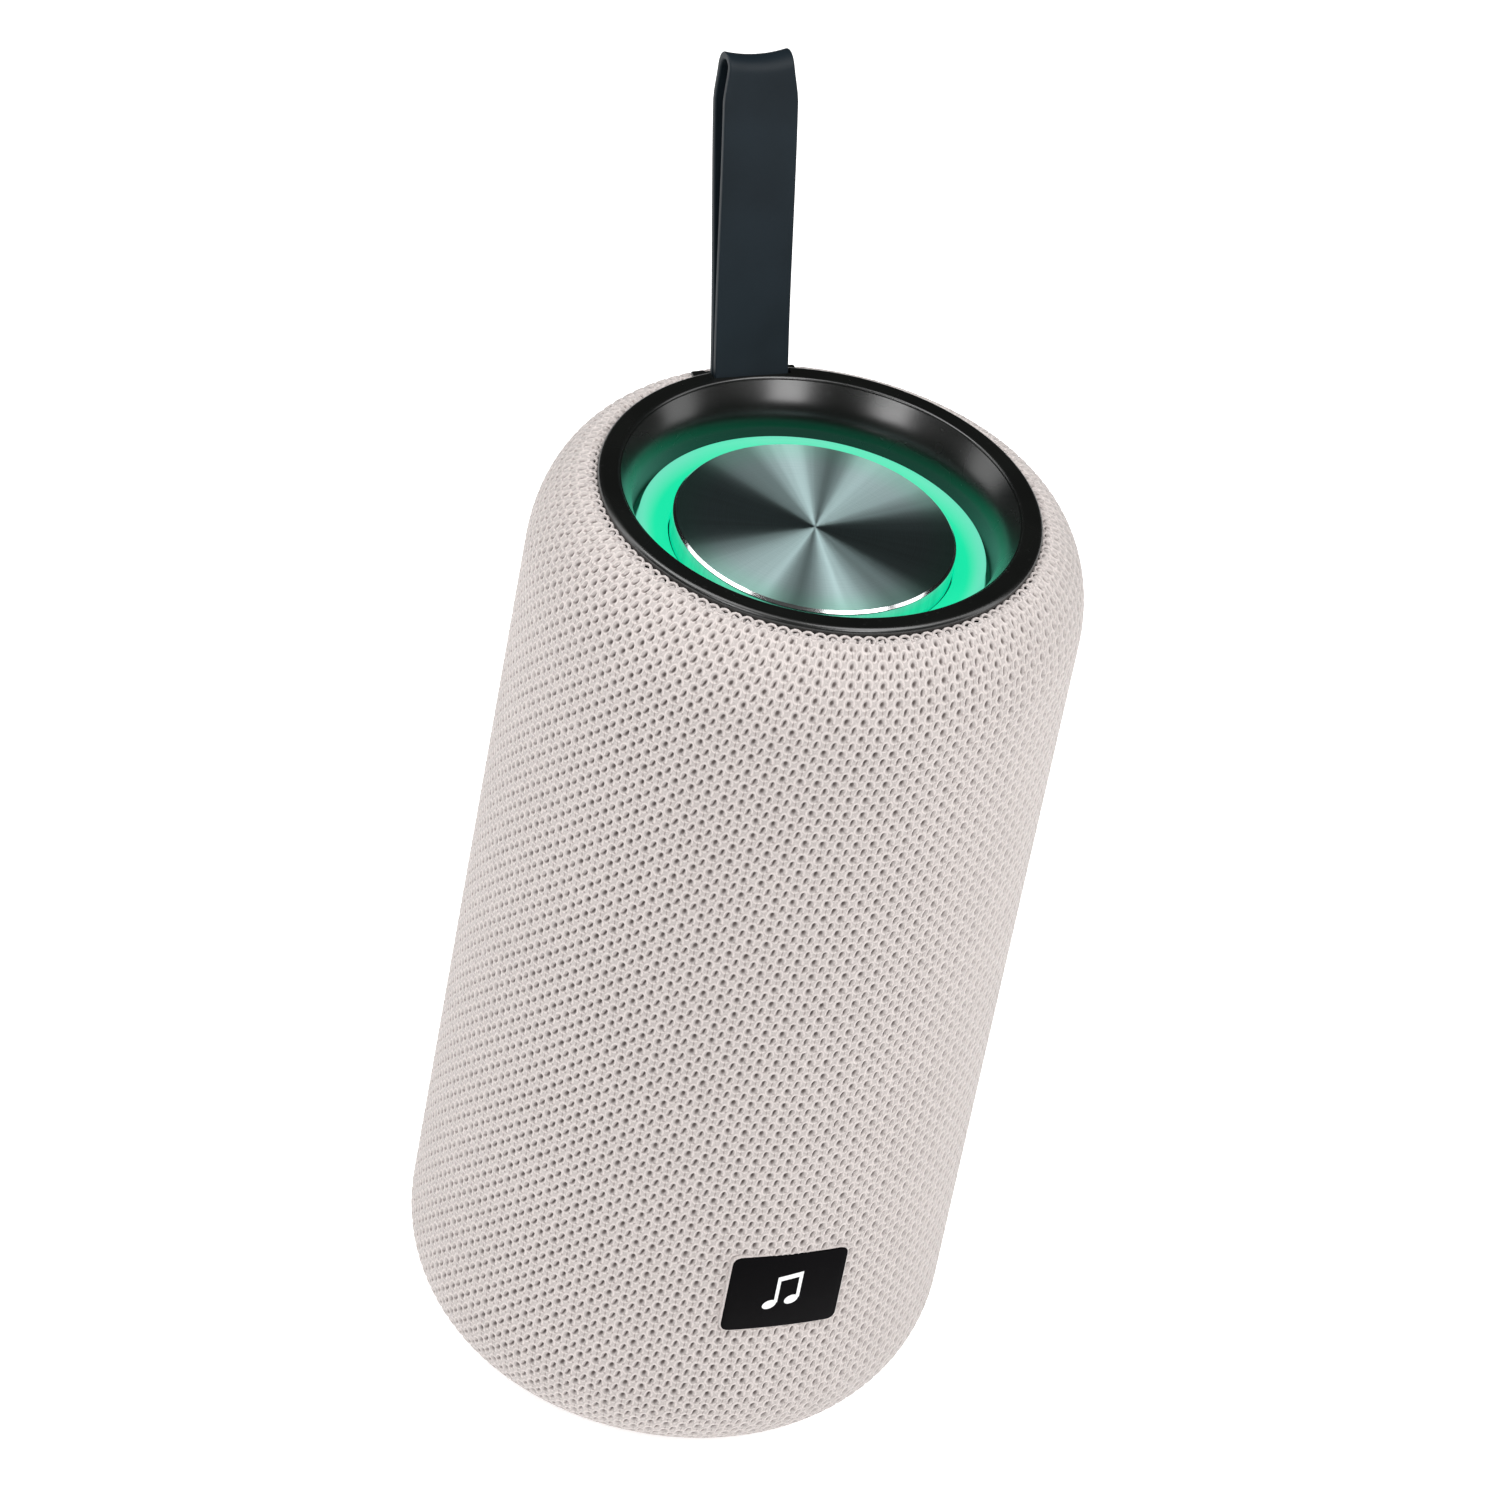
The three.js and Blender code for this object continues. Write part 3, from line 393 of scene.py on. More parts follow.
def knitted():
    made, graph, shader, _ = new_material("knit_fabric")
    lattice = graph.node("ShaderNodeUVMap", uv_map="knit").outputs[0]
    knit = graph.node("ShaderNodeGroup", node_tree=KNIT)
    yarn = graph.node("ShaderNodeGroup", node_tree=YARN)
    for grouped in (knit, yarn):
        graph.feed(lattice, grouped.inputs["Lattice"])
    place = graph.node("ShaderNodeTexCoord").outputs["Object"]
    patches = graph.noise(place, 45.0, 2.0)
    thread = (0.440, 0.400, 0.385)
    yarns = graph.blend(graph.ramp(patches, 0.3, 0.7), scaled(thread, 0.96), scaled(thread, 1.04))
    fibrous = graph.ramp(yarn.outputs["Fibres"], -0.3, 0.3)
    matted = graph.blend(fibrous, scaled(thread, 0.70), scaled(thread, 1.36))
    yarns = graph.blend(0.50, yarns, matted)
    # Painted highlight: the yarn crests round each hole are made brighter in the base colour, where the yarn's top
    # catches the light.
    yarns = graph.blend(graph.math("MULTIPLY", knit.outputs["Rim"], 0.90), yarns, scaled(thread, 1.42))
    # Painted shade: the small dips beside each hole are darkened in the base colour; the same mask also sinks them
    # in the bump.
    dip = graph.math("MULTIPLY", knit.outputs["Shallow"], 0.62)
    yarns = graph.blend(dip, yarns, (0.200, 0.165, 0.152, 1.0))
    # Painted shade: the sunk core of every hole is darkened to a deep brown of the thread's own hue in the base
    # colour.
    painted_hole_shade = graph.math("MULTIPLY", knit.outputs["Hole"], 0.93)
    shaded = graph.blend(painted_hole_shade, yarns, (0.105, 0.084, 0.078, 1.0))
    graph.feed(shaded, shader.inputs["Base Color"])
    shader.inputs["Roughness"].default_value = 0.9
    shader.inputs["Specular IOR Level"].default_value = 0.25
    shader.inputs["Sheen Weight"].default_value = 0.25
    shader.inputs["Sheen Roughness"].default_value = 0.5
    raised = graph.math("MULTIPLY", knit.outputs["Rim"], 0.8)
    sunk = graph.math("MULTIPLY", graph.math("ADD", dip, knit.outputs["Hole"]), -1.0)
    fuzz = graph.math("MULTIPLY", yarn.outputs["Height"], 0.7)
    bump(graph, shader, graph.math("ADD", graph.math("ADD", raised, sunk), fuzz), 0.6, 0.22 * MM)
    return made


def edge_yarn():
    """The same thread on the row of loops beside the ring, without the lattice."""
    made, graph, shader, place = new_material("edge_yarn")
    fibres = graph.noise(place, 2600.0, 4.0, 0.7)
    thread = (0.480, 0.436, 0.420)
    colour = graph.blend(graph.ramp(fibres, 0.3, 0.7), scaled(thread, 0.80), scaled(thread, 1.12))
    graph.feed(colour, shader.inputs["Base Color"])
    shader.inputs["Roughness"].default_value = 0.9
    shader.inputs["Sheen Weight"].default_value = 0.25
    bump(graph, shader, fibres, 0.5, 0.08 * MM)
    return made


def lit_diffuser():
    """Milky ring lit from below: deep green inside, paler where the light thins out."""
    made, graph, shader, place = new_material("light_diffuser")
    spun = graph.node("ShaderNodeGroup", node_tree=SPUN)
    graph.feed(place, spun.inputs["Vector"])
    inner = light_rings()[0]
    outward = graph.ramp(spun.outputs["Radius"], inner + 2.0 * MM, inner + 5.0 * MM)
    uneven = graph.noise(place, 70.0, 1.0)
    glow = graph.blend(outward, (0.000, 0.760, 0.370, 1.0), (0.150, 0.700, 0.490, 1.0))
    glow = graph.blend(graph.ramp(uneven, 0.35, 0.75, 0.0, 0.35), glow, (0.01, 0.82, 0.42, 1.0))
    dim = graph.ramp(spun.outputs["Radius"], inner + 5.35 * MM, inner + 5.75 * MM)
    glow = graph.blend(dim, glow, (0.001, 0.030, 0.018, 1.0))
    graph.feed(glow, shader.inputs["Emission Color"])
    shader.inputs["Emission Strength"].default_value = 1.0
    shader.inputs["Base Color"].default_value = (0.01, 0.05, 0.03, 1.0)
    shader.inputs["Specular IOR Level"].default_value = 0.2
    shader.inputs["Roughness"].default_value = 0.45
    bump(graph, shader, graph.noise(place, 1500.0, 2.0), 0.15, 0.02 * MM)
    return made


def spun_metal():
    made, graph, shader, place = new_material("spun_metal")
    spun = graph.node("ShaderNodeGroup", node_tree=SPUN)
    graph.feed(place, spun.inputs["Vector"])
    grey = (0.300, 0.400, 0.402)
    lines = graph.ramp(spun.outputs["Lines"], -0.3, 0.3)
    colour = graph.blend(lines, scaled(grey, 0.75), scaled(grey, 1.30))
    streaks = graph.ramp(spun.outputs["Streaks"], -0.3, 0.3)
    colour = graph.blend(graph.math("MULTIPLY", streaks, 0.5), colour, scaled(grey, 1.45))
    # Painted reflection: the outer 7 mm of the cap's base colour fades to green, standing in for the light ring's
    # glow spilling onto the metal.
    glow = graph.ramp(spun.outputs["Radius"], CAP_RADIUS - 7 * MM, CAP_RADIUS, 0.0, 0.45)
    colour = graph.blend(glow, colour, (0.230, 0.560, 0.430, 1.0))
    graph.feed(colour, shader.inputs["Base Color"])
    shader.inputs["Metallic"].default_value = 1.0
    rough = graph.math("ADD", graph.math("MULTIPLY", spun.outputs["Streaks"], 0.10), 0.42)
    graph.feed(rough, shader.inputs["Roughness"])
    shader.inputs["Anisotropic"].default_value = 1.0
    shader.inputs["Anisotropic Rotation"].default_value = 0.25
    tangent = graph.node("ShaderNodeTangent", direction_type="RADIAL", axis="Z")
    graph.feed(tangent.outputs[0], shader.inputs["Tangent"])
    bump(graph, shader, spun.outputs["Lines"], 0.2, 0.006 * MM)
    return made


def cut_metal():
    """Bright diamond-cut edge of the cap, polished over the darker face."""
    made, graph, shader, place = new_material("cut_edge")
    spun = graph.node("ShaderNodeGroup", node_tree=SPUN)
    graph.feed(place, spun.inputs["Vector"])
    streaks = graph.ramp(spun.outputs["Streaks"], -0.3, 0.3)
    colour = graph.blend(streaks, (0.70, 0.72, 0.72, 1.0), (0.90, 0.91, 0.91, 1.0))
    graph.feed(colour, shader.inputs["Base Color"])
    shader.inputs["Metallic"].default_value = 1.0
    rough = graph.math("ADD", graph.math("MULTIPLY", spun.outputs["Lines"], 0.06), 0.14)
    graph.feed(rough, shader.inputs["Roughness"])
    return made


def make_finishes():
    return {
        "knit_fabric": knitted(),
        "edge_yarn": edge_yarn(),
        "light_diffuser": lit_diffuser(),
        "spun_metal": spun_metal(),
        "cut_edge": cut_metal(),
        "black_gloss": moulded("black_gloss", (0.0018, 0.0022, 0.0018), 0.27, 2200.0, 0.004,
                               specular=0.75, dust=0.01, cloud=0.2),
        "label_gloss": moulded("label_gloss", (0.0020, 0.0018, 0.0022), 0.32, 2200.0, 0.003,
                               specular=0.02),
        "silicone": moulded("silicone", (0.0060, 0.0105, 0.0145), 0.50, 2600.0, 0.03,
                            specular=0.16, cloud=0.16),
        "grey_plastic": moulded("grey_plastic", (0.030, 0.031, 0.033), 0.55, 2400.0, 0.02, wear=0.2),
        "panel_plastic": moulded("panel_plastic", (0.0125, 0.0130, 0.0140), 0.42, 3200.0, 0.02,
                                 wear=0.15, dust=0.05),
        "flap_rubber": moulded("flap_rubber", (0.0140, 0.0150, 0.0170), 0.6, 2600.0, 0.02, dust=0.15),
        "button_rubber": moulded("button_rubber", (0.0160, 0.0170, 0.0190), 0.58, 2600.0, 0.02,
                                 dust=0.12),
        "foot_rubber": moulded("foot_rubber", (0.0130, 0.0130, 0.0140), 0.75, 1800.0, 0.03, dust=0.3),
        "black_rubber": moulded("black_rubber", (0.0120, 0.0120, 0.0130), 0.6, 2000.0, 0.02, dust=0.1),
        "white_ink": moulded("white_ink", (0.78, 0.78, 0.77), 0.4, 2600.0, 0.004, cloud=0.03),
        "white_plastic": moulded("white_plastic", (0.80, 0.80, 0.78), 0.4, 2200.0, 0.008, cloud=0.04),
        "circuit_board": moulded("circuit_board", (0.012, 0.075, 0.035), 0.4, 900.0, 0.02, cloud=0.25),
        "steel": moulded("steel", (0.50, 0.50, 0.50), 0.3, 1500.0, 0.01, metallic=1.0, wear=0.3),
        "zinc": moulded("zinc", (0.20, 0.20, 0.21), 0.38, 1200.0, 0.02, metallic=1.0, cloud=0.25),
        "cone_paper": moulded("cone_paper", (0.020, 0.020, 0.022), 0.85, 1600.0, 0.06, cloud=0.25),
        "cell_wrap": moulded("cell_wrap", (0.030, 0.160, 0.420), 0.3, 800.0, 0.01, cloud=0.08),
        "wire_red": moulded("wire_red", (0.280, 0.015, 0.012), 0.45, 900.0, 0.01, cloud=0.1),
    }


# ------------------------------------------------------------------ mesh helpers
def light_rings():
    """Inner and outer radius of what shows of the light ring."""
    return CAP_RADIUS + 0.25 * MM, CAP_RADIUS + 5.5 * MM


def new_piece(name, points, faces, smooth_below=35.0):
    """An object at the origin from points and faces. Edges sharper than the angle stay sharp."""
    mesh = bpy.data.meshes.new(name)
    mesh.from_pydata([tuple(point) for point in points], [], [tuple(face) for face in faces])
    mesh.validate()
    made = bpy.data.objects.new(name, mesh)
    bpy.context.scene.collection.objects.link(made)
    soften(made, smooth_below)
    return made


def soften(made, smooth_below=35.0):
    made.data.shade_smooth()
    made.data.set_sharp_from_angle(angle=math.radians(smooth_below))


def face_outwards(made):
    work = bmesh.new()
    work.from_mesh(made.data)
    bmesh.ops.remove_doubles(work, verts=work.verts, dist=1e-6)
    bmesh.ops.recalc_face_normals(work, faces=work.faces)
    work.to_mesh(made.data)
    work.free()


def place_piece(made, body, material, replaced=()):
    """Gives a finished piece its material and body, and hides the CAD nodes that it stands for."""
    made.data.materials.clear()
    made.data.materials.append(material)
    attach(made, body)
    if replaced:
        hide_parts(*replaced)
    return made


def arc(centre, radii, start, end, steps):
    """Points on an ellipse between two angles in degrees, ends included."""
    angles = np.radians(np.linspace(start, end, steps + 1))
    return [
        (centre[0] + radii[0] * math.cos(angle), centre[1] + radii[1] * math.sin(angle))
        for angle in angles
    ]


def rounded(corners, steps=5):
    """A closed outline from (x, y, radius) corners, each corner rounded to its radius."""
    outline = []
    count = len(corners)
    for i in range(count):
        x, y, radius = corners[i]
        here = Vector((x, y))
        back = Vector(corners[i - 1][:2]) - here
        ahead = Vector(corners[(i + 1) % count][:2]) - here
        if radius <= 0:
            outline.append((x, y))
            continue
        half = back.angle(ahead) / 2
        reach = min(radius / math.tan(half), 0.49 * back.length, 0.49 * ahead.length)
        first = here + back.normalized() * reach
        last = here + ahead.normalized() * reach
        for step in range(steps + 1):
            t = step / steps
            outline.append(tuple(first * (1 - t) ** 2 + here * 2 * t * (1 - t) + last * t * t))
    return outline


def rounded_box(half, low, high, corner, steps=5):
    return rounded(
        [(-half, low, corner), (half, low, corner), (half, high, corner), (-half, high, corner)],
        steps,
    )


def revolve(name, outline, sides=ROUND_SIDES, smooth_below=35.0):
    """Turns (radius, height) points about Z. Points on the axis close into a pole."""
    points = []
    rings = []
    for radius, height in outline:
        if radius < 1e-9:
            rings.append([len(points)] * sides)
            points.append((0.0, 0.0, height))
            continue
        rings.append(list(range(len(points), len(points) + sides)))
        for side in range(sides):
            angle = 2 * math.pi * side / sides
            points.append((radius * math.cos(angle), radius * math.sin(angle), height))
    faces = []
    closed = outline[0][0] > 1e-9
    for i in range(len(rings) if closed else len(rings) - 1):
        low, high = rings[i], rings[(i + 1) % len(rings)]
        for side in range(sides):
            after = (side + 1) % sides
            corners = [low[side], low[after], high[after], high[side]]
            face = [c for k, c in enumerate(corners) if c not in corners[:k]]
            if len(face) > 2:
                faces.append(face)
    made = new_piece(name, points, faces, smooth_below)
    face_outwards(made)
    soften(made, smooth_below)
    return made


def slab(name, outline, low, high):
    """A plate between two depths: an outline in X and Z, with its thickness along Y."""
    count = len(outline)
    points = [(x, low, z) for x, z in outline] + [(x, high, z) for x, z in outline]
    faces = [list(range(count)), list(range(2 * count - 1, count - 1, -1))]
    for i in range(count):
        after = (i + 1) % count
        faces.append([i, i + count, after + count, after])
    made = new_piece(name, points, faces)
    face_outwards(made)
    return made


def apply_all(made, smooth_below=35.0):
    """Bakes the live modifiers into the mesh."""
    graph = bpy.context.evaluated_depsgraph_get()
    mesh = bpy.data.meshes.new_from_object(made.evaluated_get(graph))
    made.modifiers.clear()
    made.data = mesh
    soften(made, smooth_below)
    return made


def bevelled(made, width, segments=3, angle=40.0):
    edge = made.modifiers.new("edges", "BEVEL")
    edge.width = width
    edge.segments = segments
    edge.limit_method = "ANGLE"
    edge.angle_limit = math.radians(angle)
    return apply_all(made)


def carved(made, others, operation="DIFFERENCE"):
    """Cuts or joins other objects, which are used up."""
    for other in others:
        step = made.modifiers.new("carve", "BOOLEAN")
        step.operation = operation
        step.solver = "EXACT"
        step.object = other
    apply_all(made)
    for other in others:
        bpy.data.objects.remove(other)
    return made


def block(name, low, high, bevel=0.0):
    outline = [(low[0], low[2]), (high[0], low[2]), (high[0], high[2]), (low[0], high[2])]
    made = slab(name, outline, low[1], high[1])
    return bevelled(made, bevel) if bevel else made


def wrapped(made, radius, side, bend=None, step=0.8 * MM):
    """Bends a flat plate round the body. X is the arc, Y the depth past the radius.

    A bend wider than the radius makes a flatter plate with its middle at the radius.
    """
    bend = bend or radius
    work = bmesh.new()
    work.from_mesh(made.data)
    reach = max(abs(vertex.co.x) for vertex in work.verts)
    cuts = int(reach / step)
    for i in range(-cuts, cuts + 1):
        everything = list(work.verts) + list(work.edges) + list(work.faces)
        bmesh.ops.bisect_plane(
            work, geom=everything, plane_co=(i * step, 0, 0), plane_no=(1, 0, 0), dist=1e-7
        )
    for vertex in work.verts:
        angle = vertex.co.x / bend
        out = bend + vertex.co.y
        depth = out * math.cos(angle) - bend + radius
        vertex.co = Vector((out * math.sin(angle), side * depth, vertex.co.z))
    bmesh.ops.recalc_face_normals(work, faces=work.faces)
    work.to_mesh(made.data)
    work.free()
    soften(made)
    return made


# ------------------------------------------------------------------ camera and light
def camera_and_light():
    """A long lens looking down on the front, turned so that the strap hangs upright."""
    scene = bpy.context.scene
    lens = bpy.data.cameras.new("camera")
    lens.lens = 188.6
    lens.sensor_width = 36.0
    lens.clip_start = 0.05
    lens.clip_end = 20.0
    swing, rise, roll = math.radians(26.3), math.radians(36.2), math.radians(11.34)
    back = Vector(
        (-math.sin(swing) * math.cos(rise), -math.cos(swing) * math.cos(rise), math.sin(rise))
    )
    level = Vector((math.cos(swing), -math.sin(swing), 0))
    upright = back.cross(level)
    right = level * math.cos(roll) + upright * math.sin(roll)
    up = upright * math.cos(roll) - level * math.sin(roll)
    place = Vector((-10.226, -20.531, 19.457)) * BODY_RADIUS
    camera = bpy.data.objects.new("camera", lens)
    camera.matrix_world = Matrix(
        (
            (right.x, up.x, back.x, place.x),
            (right.y, up.y, back.y, place.y),
            (right.z, up.z, back.z, place.z),
            (0, 0, 0, 1),
        )
    )
    scene.collection.objects.link(camera)
    scene.camera = camera
    scene.view_settings.view_transform = "Standard"

    world = bpy.data.worlds.new("studio")
    world.use_nodes = True
    world.node_tree.nodes["Background"].inputs["Color"].default_value = (1.0, 1.0, 1.0, 1.0)
    world.node_tree.nodes["Background"].inputs["Strength"].default_value = 0.04
    scene.world = world

    ahead = Vector((-back.x, -back.y, 0)).normalized()
    middle = Vector((0, 0, 0.6 * RING_TOP))
    up_one = Vector((0, 0, 1))
    lamps = (
        ("left_softbox", middle - 1.05 * level + 0.12 * ahead + 0.55 * up_one, (0.45, 1.3), 5.0),
        ("right_softbox", middle + 1.05 * level + 0.12 * ahead + 0.55 * up_one, (0.42, 1.3), 4.0),
        ("left_top", middle - 0.55 * level + 1.05 * up_one - 0.15 * ahead, (0.7, 0.9), 8.5),
        ("right_top", middle + 0.50 * level + 1.05 * up_one - 0.35 * ahead, (0.7, 0.9), 10.0),
        ("left_front", middle - 0.60 * level - 1.0 * ahead + 0.72 * up_one, (0.42, 0.42), 4.2),
        ("right_front", middle + 0.60 * level - 1.0 * ahead + 0.72 * up_one, (0.42, 0.42), 4.2),
    )
    for name, spot, size, watts in lamps:
        light = bpy.data.lights.new(name, "AREA")
        light.shape = "RECTANGLE"
        light.size, light.size_y = size
        light.energy = watts
        lamp = bpy.data.objects.new(name, light)
        lamp.location = spot
        lamp.rotation_euler = (middle - spot).to_track_quat("-Z", "Y").to_euler()
        scene.collection.objects.link(lamp)


def floor():
    made = bpy.data.meshes.new("floor")
    work = bmesh.new()
    bmesh.ops.create_grid(work, x_segments=8, y_segments=8, size=6.0)
    bmesh.ops.translate(work, verts=work.verts, vec=(0, 0, -0.05 * MM))
    work.to_mesh(made)
    work.free()
    ground = bpy.data.objects.new("floor", made)
    bpy.context.scene.collection.objects.link(ground)
    paper, graph, shader, place = new_material("pale_floor")
    tone = graph.noise(place, 3.0, 2.0)
    graph.feed(
        graph.blend(tone, (0.90, 0.90, 0.90, 1.0), (0.93, 0.93, 0.93, 1.0)),
        shader.inputs["Base Color"],
    )
    shader.inputs["Roughness"].default_value = 0.9
    shader.inputs["Emission Color"].default_value = (1.0, 1.0, 1.0, 1.0)
    shader.inputs["Emission Strength"].default_value = 0.55
    ground.data.materials.append(paper)


# ------------------------------------------------------------------ knitted sleeve
def sleeve_outline():
    """Fine (radius, height) points from under the base to the edge beside the ring."""
    low = arc(
        (BOTTOM_FLAT, BODY_BOTTOM + BOTTOM_RISE), (BODY_RADIUS - BOTTOM_FLAT, BOTTOM_RISE), -90, 0, 60
    )
    high = arc(
        (RING_OUTER, SHOULDER_START), (BODY_RADIUS - RING_OUTER, SHOULDER_RISE), 0, 87, 60
    )
    hem = [(BOTTOM_FLAT, BODY_BOTTOM + 0.9 * MM)]
    tuck = [(RING_OUTER + 0.35 * MM, RING_TOP - 2.6 * MM)]
    return np.array(hem + low + high + tuck)


def along_outline(distance, outline):
    """Place and outward direction at distances along the outline."""
    steps = np.linalg.norm(np.diff(outline, axis=0), axis=1)
    travelled = np.concatenate([[0], np.cumsum(steps)])
    place = [np.interp(distance, travelled, outline[:, k]) for k in range(2)]
    ahead = [np.interp(distance + 0.3 * MM, travelled, outline[:, k]) for k in range(2)]
    behind = [np.interp(distance - 0.3 * MM, travelled, outline[:, k]) for k in range(2)]
    run = np.stack([ahead[0] - behind[0], ahead[1] - behind[1]], axis=-1)
    run /= np.maximum(np.linalg.norm(run, axis=-1, keepdims=True), 1e-12)
    return np.stack(place, axis=-1), np.stack([run[..., 1], -run[..., 0]], axis=-1)


def outline_length():
    return float(np.linalg.norm(np.diff(sleeve_outline(), axis=0), axis=1).sum())


def past_edge(spots, low, high, side):
    """How far spots lie outside a plate on the front (-1) or back (+1). Inside is below 0."""
    x, y, z = spots[..., 0], spots[..., 1], spots[..., 2]
    outside = np.maximum(np.abs(x) - high.x, np.maximum(low.z - z, z - high.z))
    return np.where(side * y > 0, outside, 1.0)


def pressed_in(spots):
    """How far the cloth is held down beside and under the label and the control strip."""
    fade, deepest = 0.8 * MM, 0.30 * MM
    press = 0.0
    for low, high, side in ((label_low, label_high, -1), (panel_low, panel_high, 1)):
        outside = np.maximum(past_edge(spots, low, high, side), 0.0)
        press = np.maximum(press, np.exp(-((outside / fade) ** 2)))
    return deepest * press


def tucked_under(spots):
    """How far the cloth dips where it runs under the strap's bracket."""
    half, back, fade, deepest = 9.3 * MM, 39.7 * MM, 0.7 * MM, 0.8 * MM
    x, y, z = spots[..., 0], spots[..., 1], spots[..., 2]
    outside = np.maximum(np.maximum(np.abs(x) - half, y - back), 0.0)
    dip = deepest * np.exp(-((outside / fade) ** 2))
    return np.where((y > 30 * MM) & (z > 150 * MM), dip, 0.0)


def hidden(spots):
    """True where the label, the control strip or the strap's root covers the cloth."""
    inset = -1.7 * MM
    covered = past_edge(spots, label_low, label_high, -1) < inset
    covered |= past_edge(spots, panel_low, panel_high, 1) < inset
    x, y, z = spots[..., 0], spots[..., 1], spots[..., 2]
    slot = (y > 30 * MM) & (y < 38.9 * MM) & (np.abs(x) < 7.2 * MM) & (z > 176.3 * MM)
    return covered | slot


def on_sleeve(places, depth, pitch, outline):
    """Spots on the sleeve for (half column, row) places, raised by depth."""
    place, outward = along_outline(places[..., 1] * pitch, outline)
    radius = place[..., 0] + outward[..., 0] * depth
    height = place[..., 1] + outward[..., 1] * depth
    angle = places[..., 0] * math.pi / COLUMNS
    heading = np.stack([np.cos(angle), np.sin(angle), np.zeros_like(angle)], axis=-1)
    spots = heading * radius[..., None]
    spots[..., 2] = height
    spots -= heading * pressed_in(spots)[..., None]
    spots[..., 2] -= tucked_under(spots)
    return spots


def lattice_corners(rows):
    """Every (half column, row) place of the lattice, row by row."""
    column, row = np.meshgrid(np.arange(AROUND), np.arange(rows + 1))
    return np.stack([column, row], axis=-1).reshape(-1, 2).astype(float)


def corner_number(places):
    """Where places stand in the list of corners. A column may lie past the seam."""
    return (places[..., 1] * AROUND + places[..., 0] % AROUND).astype(int)


def hole_places(corners, rows, pitch, outline):
    """Places and feet of the holes, which sit where column + row is even."""
    staggered = corners.sum(axis=1) % 2 == 0
    inside = (corners[:, 1] > 0) & (corners[:, 1] < rows)
    centres = corners[staggered & inside]
    feet = on_sleeve(centres, -HOLE_DEPTH, pitch, outline)
    shown = ~hidden(feet)
    return centres[shown], feet[shown]


def arch_places(centres, rows):
    """Eight places on the arch of yarn round each hole."""
    round_one = (centres[:, 1] % 2 == 0)[:, None]
    angle = np.radians(np.arange(8) * 45.0)[None, :]
    wide = np.where(round_one, ROUND_ARCH[0], TALL_ARCH[0]) * np.cos(angle)
    tall = np.where(round_one, ROUND_ARCH[1], TALL_ARCH[1]) * np.sin(angle)
    column = centres[:, :1] + wide + ARCH_LEAN * tall
    row = np.clip(centres[:, 1:] + tall + ARCH_LIFT, 0.05, rows - 0.05)
    return np.stack([column, row], axis=-1)


def stitch_triples(centres, arches, corner_count):
    """Triangles of each hole's cell, with every corner as (vertex numbers, places)."""
    first_foot = corner_count + np.arange(len(centres))
    first_crest = corner_count + len(centres) + 8 * np.arange(len(centres))
    sides = centres[:, None, :] + np.array([(1, 0), (0, 1), (-1, 0), (0, -1)])
    foot = (first_foot, centres)
    crest = [(first_crest + k, arches[:, k]) for k in range(8)]
    corner = [(corner_number(sides[:, k]), sides[:, k]) for k in range(4)]
    triples = []
    for k in range(4):
        here, between, following = crest[2 * k], crest[2 * k + 1], crest[(2 * k + 2) % 8]
        near, far = corner[k], corner[(k + 1) % 4]
        triples += [
            (here, between, foot),
            (between, following, foot),
            (near, between, here),
            (near, far, between),
            (far, following, between),
        ]
    return triples


def edge_triples(rows):
    """Half cells that fill the lattice out to its bottom and top edges."""
    triples = []
    for edge, inward in ((0, 1), (rows, -1)):
        start = np.arange(edge % 2, AROUND, 2)
        triple = []
        for shift, rise in ((-inward, 0), (inward, 0), (0, inward)):
            row = np.full_like(start, edge + rise)
            places = np.stack([start + shift, row], axis=-1).astype(float)
            triple.append((corner_number(places), places))
        triples.append(triple)
    return triples


def knit_mesh_data():
    """Vertices and triangles of the whole sleeve, and the place of every triangle's corners."""
    outline = sleeve_outline()
    rows = 2 * int(outline_length() / ROW_PITCH / 2)
    pitch = outline_length() / rows
    corners = lattice_corners(rows)
    centres, feet = hole_places(corners, rows, pitch, outline)
    arches = arch_places(centres, rows)
    flat = on_sleeve(corners, 0.0, pitch, outline)
    crests = on_sleeve(arches.reshape(-1, 2), CREST, pitch, outline)
    triples = stitch_triples(centres, arches, len(corners)) + edge_triples(rows)
    triangles = [np.stack([spot[0] for spot in triple], axis=-1) for triple in triples]
    places = [np.stack([spot[1] for spot in triple], axis=1) for triple in triples]
    return np.concatenate([flat, feet, crests]), np.concatenate(triangles), np.concatenate(places)


def knit_sleeve(finishes):
    """The sleeve in a front and a back panel, with one set of normals over both."""
    spots, triangles, places = knit_mesh_data()
    whole = new_piece("whole_sleeve", spots, triangles.tolist(), 180.0)
    normals = np.empty(len(spots) * 3, np.float32)
    whole.data.vertices.foreach_get("normal", normals)
    normals = normals.reshape(-1, 3)
    bpy.data.objects.remove(whole)
    back = places[:, :, 0].mean(axis=1) % AROUND < COLUMNS
    for name, chosen in (("knit_sleeve_front", ~back), ("knit_sleeve_back", back)):
        used, corners = np.unique(triangles[chosen], return_inverse=True)
        mesh = bpy.data.meshes.new(name)
        mesh.from_pydata(spots[used].tolist(), [], corners.reshape(-1, 3).tolist())
        layer = mesh.uv_layers.new(name="knit")
        layer.data.foreach_set("uv", (places[chosen] / 2).astype(np.float32).ravel())
        mesh.shade_smooth()
        mesh.normals_split_custom_set_from_vertices(normals[used].tolist())
        panel = bpy.data.objects.new(name, mesh)
        bpy.context.scene.collection.objects.link(panel)
        place_piece(panel, "housing", finishes["knit_fabric"], ["fabric_sleeve"])


WHOLE, FINISH, SHAPE = "NodeSocketInt", "NodeSocketMaterial", "NodeSocketGeometry"


